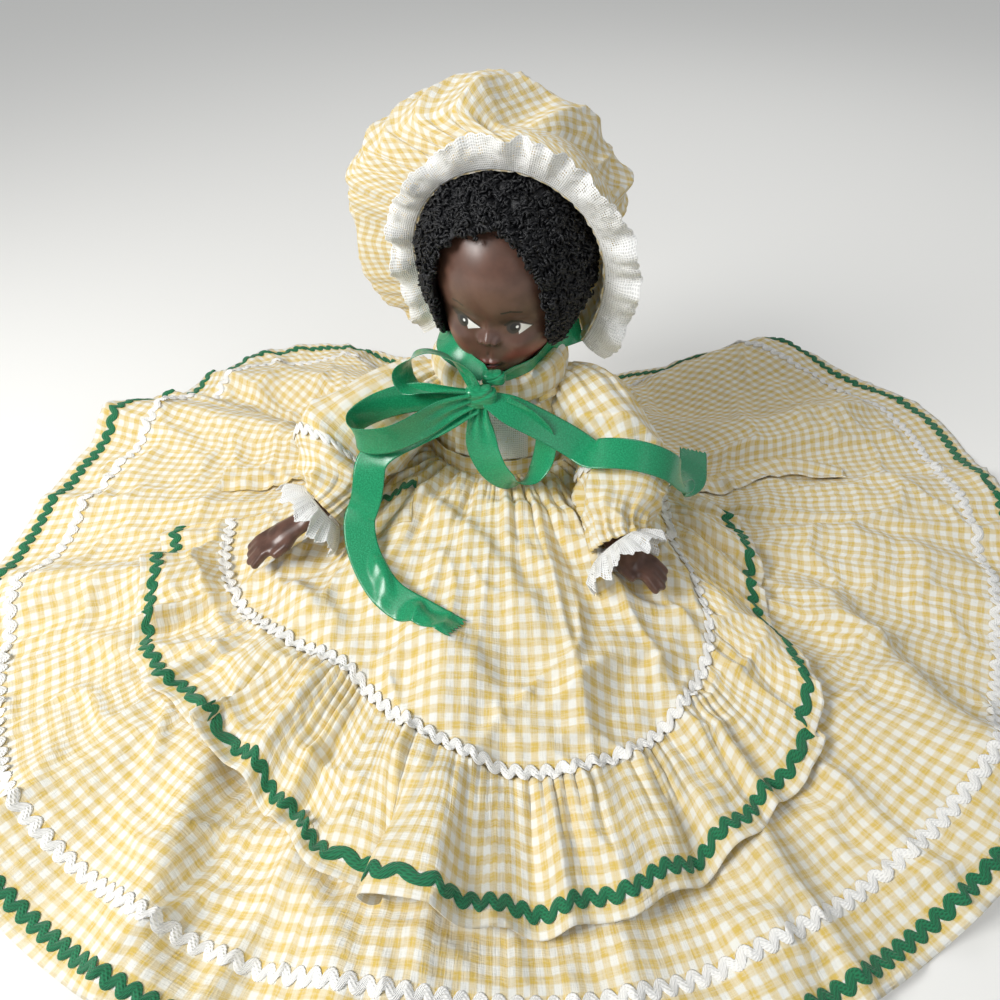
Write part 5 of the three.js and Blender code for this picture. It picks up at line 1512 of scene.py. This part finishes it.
def build_head():
    """Moulded head with its painted face."""
    turns = (np.arange(300) / 300) * FULL
    turns = turns - 0.45 * np.sin(turns)
    rises = np.linspace(-math.pi / 2 + 0.02, math.pi / 2 - 0.02, 260)
    local = head_point(*grid(turns, rises))
    x, y, z = np.moveaxis(round_again(local), -1, 0)
    # The back of the head lies apart on the flat map, away from the painted face
    flat = flat_map(x, z + np.where(y > 8, 200, 0))
    head = surface("moulded_head", from_head(local), "face", flat, True, 0)
    turn, row = grid(np.arange(64) / 64 * FULL, np.arange(len(NECK_RINGS)))
    radius, height = np.array(NECK_RINGS)[row].transpose(2, 0, 1)
    neck = surface("neck", polar(turn, radius, height), "skin", None, True, 0)
    whole = joined("moulded_head", [head, neck])
    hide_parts("head")
    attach(whole, "head")
    return [whole]


def curl_piece(name, spots, normals, sizes, seed):
    """Small coiled curls standing on places, as one mesh."""
    random = np.random.default_rng(seed)
    count, steps, sides = len(spots), 11, 4
    tilt = unit(random.normal(size=(count, 3)))
    axis = unit(normals * 0.35 + tilt)
    first = unit(np.cross(axis, random.normal(size=(count, 3))))
    second = np.cross(axis, first)
    along = np.linspace(0, 1, steps)
    angle = along * FULL * 1.5
    spread = sizes[:, None] * (1 - 0.25 * along)
    centre = spots[:, None] + first[:, None] * (np.cos(angle) * spread)[..., None]
    centre = centre + second[:, None] * (np.sin(angle) * spread)[..., None]
    centre = centre + axis[:, None] * ((along - 0.5) * sizes[:, None] * 1.5)[..., None]
    ahead = unit(np.gradient(centre, axis=1))
    across = unit(np.cross(ahead, axis[:, None] + 1e-3))
    over = np.cross(ahead, across)
    ring = np.arange(sides) / sides * FULL
    thick = 0.62 * (1 - 0.5 * np.abs(2 * along - 1) ** 3)[:, None]
    points = centre[:, :, None] + across[:, :, None] * (np.cos(ring) * thick)[None, ..., None]
    points = points + over[:, :, None] * (np.sin(ring) * thick)[None, ..., None]
    index = np.arange(count * steps * sides).reshape(count, steps, sides)
    low, high = index[:, :-1], index[:, 1:]
    faces = np.stack([low, np.roll(low, -1, 2), np.roll(high, -1, 2), high], -1)
    return mesh_piece(name, points, faces, "hair")


def vertex_values(mesh, name):
    """A vector of each vertex, such as its place or its normal."""
    values = np.empty(len(mesh.vertices) * 3)
    mesh.vertices.foreach_get(name, values)
    return values.reshape(-1, 3)


def set_places(mesh, places):
    """Moves the vertices of a mesh to places in millimetres."""
    mesh.vertices.foreach_set("co", (places * MM).reshape(-1))


def build_wig():
    """Curled cap of hair: an uneven base covered with small curls."""
    base = softened("wig", "wig_base", "hair", 1.1, 4)
    spots = vertex_values(base.data, "co") / MM
    normals = vertex_values(base.data, "normal")
    outward = np.sum(unit(spots - np.array(HEAD_PLACE)) * normals, -1) > 0.15
    lumps = crumple(spots[:, 0] + spots[:, 2], spots[:, 1] - spots[:, 2], 6.5, 101)
    moved = spots + normals * (lumps * 1.9 * outward)[:, None]
    set_places(base.data, moved)
    random = np.random.default_rng(103)
    picked = random.choice(np.flatnonzero(outward), bpy.context.scene.doll_sizes.curls)
    sizes = random.uniform(0.8, 1.9, len(picked))
    roots = moved[picked] + random.normal(scale=0.5, size=(len(picked), 3))
    roots = roots + normals[picked] * 0.1
    curls = curl_piece("curls", roots, normals[picked], sizes, 105)
    wig = joined("curled_wig", [base, curls])
    set_places(wig.data, under_bonnet(vertex_values(wig.data, "co") / MM))
    wig.data.update()
    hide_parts("wig")
    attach(wig, "head")
    return [wig]


def opening_share(x, z):
    """How far out a place is, as a share of the bonnet's face opening."""
    return np.hypot((x - OPENING_X) / OPENING_WIDTH, z / np.where(z > 0, OPENING_HIGH, OPENING_LOW))


def hair_share(y):
    """How far out hair may reach under the bonnet, as a share of the face opening."""
    room = 0.97 + 0.12 * ease((y - BRIM_BACK) / 12)
    return room * np.sqrt(np.clip(1 - (y / 56) ** 2, 0.01, 1))


def under_bonnet(points):
    """Places of the hair, pressed in where the casing and the crown lie over them."""
    local = (points - np.array(HEAD_PLACE)) @ head_matrix()
    x, y, z = local.T
    press = np.minimum(hair_share(y) / np.maximum(opening_share(x, z), 0.2), 1)
    press = mix(1, press, ease((y - BRIM_FRONT + 2) / 4))
    local = np.stack([OPENING_X + (x - OPENING_X) * press, y, z * press], -1)
    return from_head(local)


def crown_point(turn, depth):
    """A place on the bonnet's crown in the head's frame, from the casing (0) to the back (1)."""
    width, height, loose = (rounded(CROWN_SHARES, depth, column, 0.03) for column in (1, 2, 3))
    within = ease(depth * 9) * ease((1 - depth) * 3)
    pleats = np.cos(turn * 31 + 2.2 * np.sin(turn * 3) + 1.1 * np.sin(turn * 7))
    gather = bell(depth / 0.16) + 0.8 * bell((depth - 1) / 0.25)
    out = 1.6 * loose * np.cos(turn * 7) + 2.3 * pleats * gather * ease(depth * 30)
    folds = grain(turn / FULL * 32, depth * 3.2, 111)
    out = out + 3.6 * folds * ease(depth * 8) * ease((1 - depth) * 3)
    radial = 1 - np.abs(np.sin(turn * 8.5 + 1.3 * np.sin(turn * 3) + 1.5 * depth))
    out = out + 2.6 * radial**2 * ease(depth * 6) * ease((1.05 - depth) * 2)
    out = out + 2.6 * (creases(turn * 62, depth * 90, 34, 113) - 0.35) * within
    out = out + 1.0 * crumple(turn * 62, depth * 90, 15, 117) * within
    middle = OPENING_X + CROWN_SHIFT * ease(depth * 6) * (1 - ease(depth) * 0.9)
    rise = depth**2 * CROWN_HEIGHT * 0.05
    lean = 1 - 0.15 * ease(np.cos(turn) * 3)
    low = mix(1, 0.86, ease(np.sin(turn) * 3))
    peak = CROWN_PEAK * loose * bell((turn - math.pi / 2) / 0.3)
    sag = ease(-np.cos(turn) * 2) * ease(0.25 - np.sin(turn) * 1.6) * loose
    x = np.cos(turn) * (CROWN_WIDTH * width * lean + out) - 6 * sag
    z = np.sin(turn) * (CROWN_HEIGHT * height * low + out + peak) - 17 * sag
    drawn = mix(0.1, 1, ease((1 - depth) * 30))
    x, z = middle + x * drawn, rise + z * drawn
    y = BRIM_BACK + 0.35 + depth * CROWN_DEPTH + out * 0.25 * ease(depth * 3)
    # Kept clear of the hair behind the casing
    need = (hair_share(y) + 0.02) / np.maximum(opening_share(x, z), 0.2)
    push = mix(1, np.maximum(need, 1), ease(depth * 25) * ease((0.75 - depth) * 6))
    return np.stack([OPENING_X + (x - OPENING_X) * push, y, z * push], -1)


def build_bonnet():
    """Gathered crown, face casing with its bound edge, and the flared lace."""
    run, row = grid(np.linspace(0, 1, 560), np.linspace(0, 1, 150))
    nape = NAPE_GAP * (1 - ease((row - 0.12) * 2.4))
    low = -math.pi / 2
    turn = mix(low + nape, low + FULL - nape * 0.7, run)
    points = crown_point(turn, row)
    from_back = lengths(points[:, ::-1], 1)[:, ::-1]
    flat = flat_map(np.cos(turn) * from_back, np.sin(turn) * from_back)
    crown = node_piece("bonnet_crown", "crown_cloth", from_head(points), flat=flat, body="head")

    turn, row = brim_grid(700, 30)
    pucker = np.cos(turn * 46 + 2 * np.sin(turn * 5))
    ripple = 0.7 * pucker * ease(row * 2) + 0.5 * grain(turn * 20, row * 3, 121)
    edge = 1.5 * np.sqrt(np.clip(1 - ((row - 0.12) / 0.12) ** 2, 0, 1)) * (row < 0.24)
    lining = ease(0.35 - np.sin(turn) * 2) * ease(row * 2 - 1)
    y = mix(BRIM_FRONT - 0.8, BRIM_BACK + 1, row) + 9 * lining
    points = from_head(opening(turn, y, ripple + edge * 0.6 - 8.5 * lining))
    look = "gingham", flat_map(turn * 50, row * 14), False, CASING_THICKNESS
    brim = node_piece("bonnet_brim", "brim_cloth", points, *look, body="head")

    turn, row = brim_grid(1100, 34)
    waves = np.sin(turn * 15 + 1.5 * np.sin(turn * 4)) * 2.4
    waves = waves + np.sin(turn * 31 + 2 * np.sin(turn * 5)) * 1.3
    waves = waves + 0.9 * grain(turn * 14, row * 4, 127)
    width = mix(14.8, 11, ease(-np.cos(turn) * 1.4)) + 1.6 * grain(turn * 6, row * 0, 125)
    distance = row * (width + 0.8 * np.abs(np.sin(turn * 40))) + 0.8
    y = BRIM_FRONT - 1.2 - 1.4 * row + waves * row**1.2 - 2.0 * np.sin(row * 2.6)
    points = from_head(opening(turn, y, distance))
    look = "lace", flat_map(turn * 62, row * 15), False, LACE_THICKNESS
    trim = node_piece("bonnet_lace", "bonnet_lace_cloth", points, *look, body="head")
    flat_size(brim)
    flat_size(trim)
    return [crown, brim, trim]


def brim_grid(columns, rows):
    """Turns along the face opening by rows from its front."""
    turns = np.linspace(BRIM_END, math.pi - BRIM_END, columns)
    return grid(turns, np.linspace(0, 1, rows))


def ribbon_grid(at, across, width, columns):
    """Places of a ribbon about its middle, the way it faces, and where each column lies."""
    part = np.linspace(-0.5, 0.5, columns)
    ahead = unit(np.gradient(at, axis=0))
    face = unit(np.cross(ahead, across))
    level = unit(np.cross(face, ahead))
    points = at[:, None] + level[:, None] * (part * width[:, None])[..., None]
    return points, face[:, None], part


def ribbon_piece(node, name, points):
    """A satin strip over a grid of places, along its run and across it."""
    columns = points.shape[1]
    run = lengths(points[:, columns // 2], 0)
    flat = flat_map(run[:, None], np.linspace(-0.5, 0.5, columns) * RIBBON_WIDTH)
    return node_piece(node, name, points, "satin", flat, thickness=RIBBON_THICKNESS)


def bow_loop(side, route, ways):
    """A loop along a route from the knot and back to it, with the directions of its width."""
    shares = np.linspace(0, 1, 170)
    at = through(route, shares)
    across = unit(through(ways, shares))
    near = np.minimum(shares, 1 - shares)
    width = mix(RIBBON_WIDTH * 0.55, RIBBON_WIDTH, ease(near * 5))
    points, face, part = ribbon_grid(at, across, width, 19)
    pleat = 1.1 * np.cos(part * 15 + np.sin(shares * 9)[:, None]) * bell(near / 0.12)[:, None]
    points = clear_of_sleeves(points + face * (pleat + 0.7 * (4 * part**2))[..., None], LOOP_GAP)
    piece = ribbon_piece(f"bow_loop_{side}", f"loop_{side}", points)
    flat_size(piece)
    return piece


def clear_of_sleeves(points, gap):
    """Places pushed out of the sleeves."""
    places = points.reshape(-1, 3).copy()
    rows = np.arange(len(places))
    shares = np.linspace(0, WRIST_SHARE, 60)
    radii = sleeve_radius(shares) + gap
    for side, _ in SIDES:
        centres = through(arm_curve(side), shares)
        away = places[:, None] - centres[None]
        depth = radii - np.linalg.norm(away, axis=-1)
        worst = depth.argmax(1)
        inside = depth[rows, worst] > 0
        pushed = centres[worst] + unit(away[rows, worst]) * radii[worst][:, None]
        places[inside] = pushed[inside]
    return places.reshape(points.shape)


def smoothed(places, rounds):
    """Places along a route, each drawn to those beside it a few times."""
    for _ in range(rounds):
        places[1:-1] = (places[:-2] + 2 * places[1:-1] + places[2:]) / 4
    return places


def tail(side):
    """A tail from the knot that lies on what is under it, with a frayed end."""
    shares = np.linspace(0, 1, 200)
    at = smoothed(clear_of_sleeves(through(TAILS[side], shares), TAIL_GAP), 10)
    ahead = unit(np.gradient(at, axis=0))
    width = mix(RIBBON_WIDTH * 0.6, RIBBON_WIDTH, ease(shares * 9))
    points, _, part = ribbon_grid(at, np.cross(ahead, TAIL_FACING), width, 17)
    fray = 1.2 * np.sin(part * 60) * (shares > 0.985)[:, None]
    points = smoothed(over_lap(points + ahead[:, None] * fray[..., None], 1.0), 3)
    piece = ribbon_piece(f"ribbon_tail_{side}", f"tail_{side}", points)
    flat_size(piece)
    return piece


def knot_piece(node, centre, size, seed):
    """A pulled knot: a soft ball with folds across it."""
    turn, rise = grid(np.arange(120) / 120 * FULL, np.linspace(-1.55, 1.55, 80))
    x, y, z = np.cos(rise) * np.cos(turn), np.cos(rise) * np.sin(turn), np.sin(rise)
    square = (np.abs(x) ** 3 + np.abs(y) ** 3 + np.abs(z) ** 3) ** (1 / 3)
    crease = bell((z * 0.9 - x * 0.45 - 0.3) / 0.13)
    crease = crease + 0.8 * bell((z * 0.8 + x * 0.35 + 0.42) / 0.11)
    fold = 1 + 0.02 * seed - 0.13 * crease + 0.05 * grain(x * 2 + 5, z * 2 + 5, seed)
    waist = 1 - 0.16 * (1 - np.clip(np.abs(x) * 1.6, 0, 1))
    shape = np.stack([x, y, z * waist], -1) * (fold / square)[..., None]
    points = np.array(centre) + np.array(size) / 2 * shape
    flat = flat_map(round_again(rise) * size[2] / 2, round_again(turn, FULL) * 1.2 - 4)
    return node_piece(node, f"{node}_satin", points, "satin", flat, True, 0, body="torso")


def chin_strap(side, sign):
    """A strap from the casing's end to the knot under the chin."""
    turn = np.array(math.pi - BRIM_END if sign < 0 else BRIM_END)
    root = from_head(opening(turn, (BRIM_FRONT + BRIM_BACK) / 2, -1.6))
    end = np.array(CHIN_KNOT) + np.array((sign * 4.0, 0, 0))
    shares = np.linspace(0, 1, 120)
    at = through([root, *STRAP_ROUTES[side], end], shares)
    start_facing, facing = np.array((sign * 0.9, -0.2, 0.4)), np.array(STRAP_FACING[side])
    facing = unit(mix(start_facing, facing, ease(shares * 2.5)[:, None]))
    across = np.cross(facing, unit(np.gradient(at, axis=0)))
    width = mix(11, 9, ease(shares * 1.4 - 0.3)) * mix(1, 0.7, ease(shares * 8 - 7))
    points, face, part = ribbon_grid(at, across, width, 15)
    points = points + face * (0.7 * 4 * part**2)[:, None]
    strap = ribbon_piece(f"chin_strap_{side}", f"chin_ribbon_{side}", points)
    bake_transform(strap)
    size = flat_size(strap)[0], 0.9 * RIBBON_WIDTH * MM
    return strap


def build_ribbon():
    """Chin straps, two knots, three loops and two tails."""
    straps = [chin_strap(side, sign) for side, sign in SIDES]
    knots = [
        knot_piece("chin_knot", np.array(CHIN_KNOT) - (0, 0, 1.2), (11, 7, 7.5), 1),
        knot_piece("bow_knot", BOW_KNOT, (14.5, 8.5, 12), 2),
    ]
    left, drop, arch = (bow_loop(side, *LOOPS[side]) for side in LOOPS)
    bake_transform(left)
    ride_torso([drop, arch])
    tails = [tail(side) for side, _ in SIDES]
    for (side, _), piece in zip(SIDES, tails):
        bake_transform(piece)
    return [*straps, *knots, left, drop, arch, *tails]


def build_stage():
    """Camera, lights and a plain floor."""
    scene = bpy.context.scene
    camera = bpy.data.objects.new("camera", bpy.data.cameras.new("camera"))
    scene.collection.objects.link(camera)
    camera.location = CAMERA_PLACE
    camera.rotation_euler = (CAMERA_TILT, 0, 0)
    camera.data.lens = CAMERA_LENS
    camera.data.clip_start = 0.01
    scene.camera = camera
    corners = np.array([[(-1, -1, 0), (-1, 1, 0)], [(1, -1, 0), (1, 1, 0)]], float)
    floor = surface("floor", corners * FLOOR_HALF, "floor", None, False, 0)
    stage = [floor]
    for name, spot, size, power, tint in LIGHTS:
        light = bpy.data.objects.new(name, bpy.data.lights.new(name, "AREA"))
        light.data.energy = power
        light.data.size = size
        light.data.color = tint
        light.location = spot
        light.rotation_euler = (-Vector(spot)).to_track_quat("-Z", "Y").to_euler()
        scene.collection.objects.link(light)
        stage.append(light)
    world = bpy.data.worlds.new("studio")
    world.use_nodes = True
    background = world.node_tree.nodes["Background"]
    background.inputs["Color"].default_value = WORLD_COLOUR
    background.inputs["Strength"].default_value = WORLD_STRENGTH
    scene.world = world
    scene.view_settings.view_transform = "Standard"
    return stage


GROUPS = (
    ("skirt", "Skirt", "Build the long gathered skirt", build_skirt),
    ("apron", "Pinafore", "Build the pinafore's panel, ruffle and pocket", build_apron),
    ("bodice", "Bodice", "Build the bodice, bib, straps and ties", build_bodice),
    ("sleeves", "Sleeves", "Build the puffed sleeves and their cuffs", build_sleeves),
    ("limbs", "Body", "Build the moulded limbs and the stuffed body", build_limbs),
    ("head", "Head", "Build the moulded head", build_head),
    ("wig", "Wig", "Build the curled wig", build_wig),
    ("bonnet", "Bonnet", "Build the bonnet", build_bonnet),
    ("ribbon", "Ribbon", "Build the satin ribbon", build_ribbon),
    ("stage", "Stage", "Build the camera, lights and floor", build_stage),
)


def operator_for(key, label, description, build):
    """An operator that builds one group."""

    def execute(self, context):
        pieces = build()
        if not pieces:
            raise RuntimeError(f"{label} made no pieces")
        return {"FINISHED"}

    parts = {
        "__doc__": description,
        "bl_idname": f"doll.{key}",
        "bl_label": label,
        "bl_options": {"REGISTER", "UNDO"},
        "execute": execute,
    }
    return type(f"DOLL_OT_{key}", (bpy.types.Operator,), parts)


OPERATORS = [operator_for(*group) for group in GROUPS]


class DOLL_PT_panel(bpy.types.Panel):
    """Builds the doll group by group."""

    bl_label = "Doll"
    bl_idname = "DOLL_PT_panel"
    bl_space_type = "VIEW_3D"
    bl_region_type = "UI"
    bl_category = "Doll"

    def draw(self, context):
        for group in (context.scene.doll_sizes, context.scene.doll_colours):
            box = self.layout.box()
            for name in group.__annotations__:
                box.prop(group, name)
        for operator in OPERATORS:
            self.layout.operator(operator.bl_idname)


CLASSES = (DollColours, DollSizes, *OPERATORS, DOLL_PT_panel)


def register():
    for made in CLASSES:
        bpy.utils.register_class(made)
    bpy.types.Scene.doll_colours = bpy.props.PointerProperty(type=DollColours)
    bpy.types.Scene.doll_sizes = bpy.props.PointerProperty(type=DollSizes)


def unregister():
    del bpy.types.Scene.doll_sizes
    del bpy.types.Scene.doll_colours
    for made in reversed(CLASSES):
        bpy.utils.unregister_class(made)


def main():
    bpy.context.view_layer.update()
    register()
    for operator in OPERATORS:
        getattr(bpy.ops.doll, operator.bl_idname.split(".")[1])()


if __name__ == "__main__":
    main()
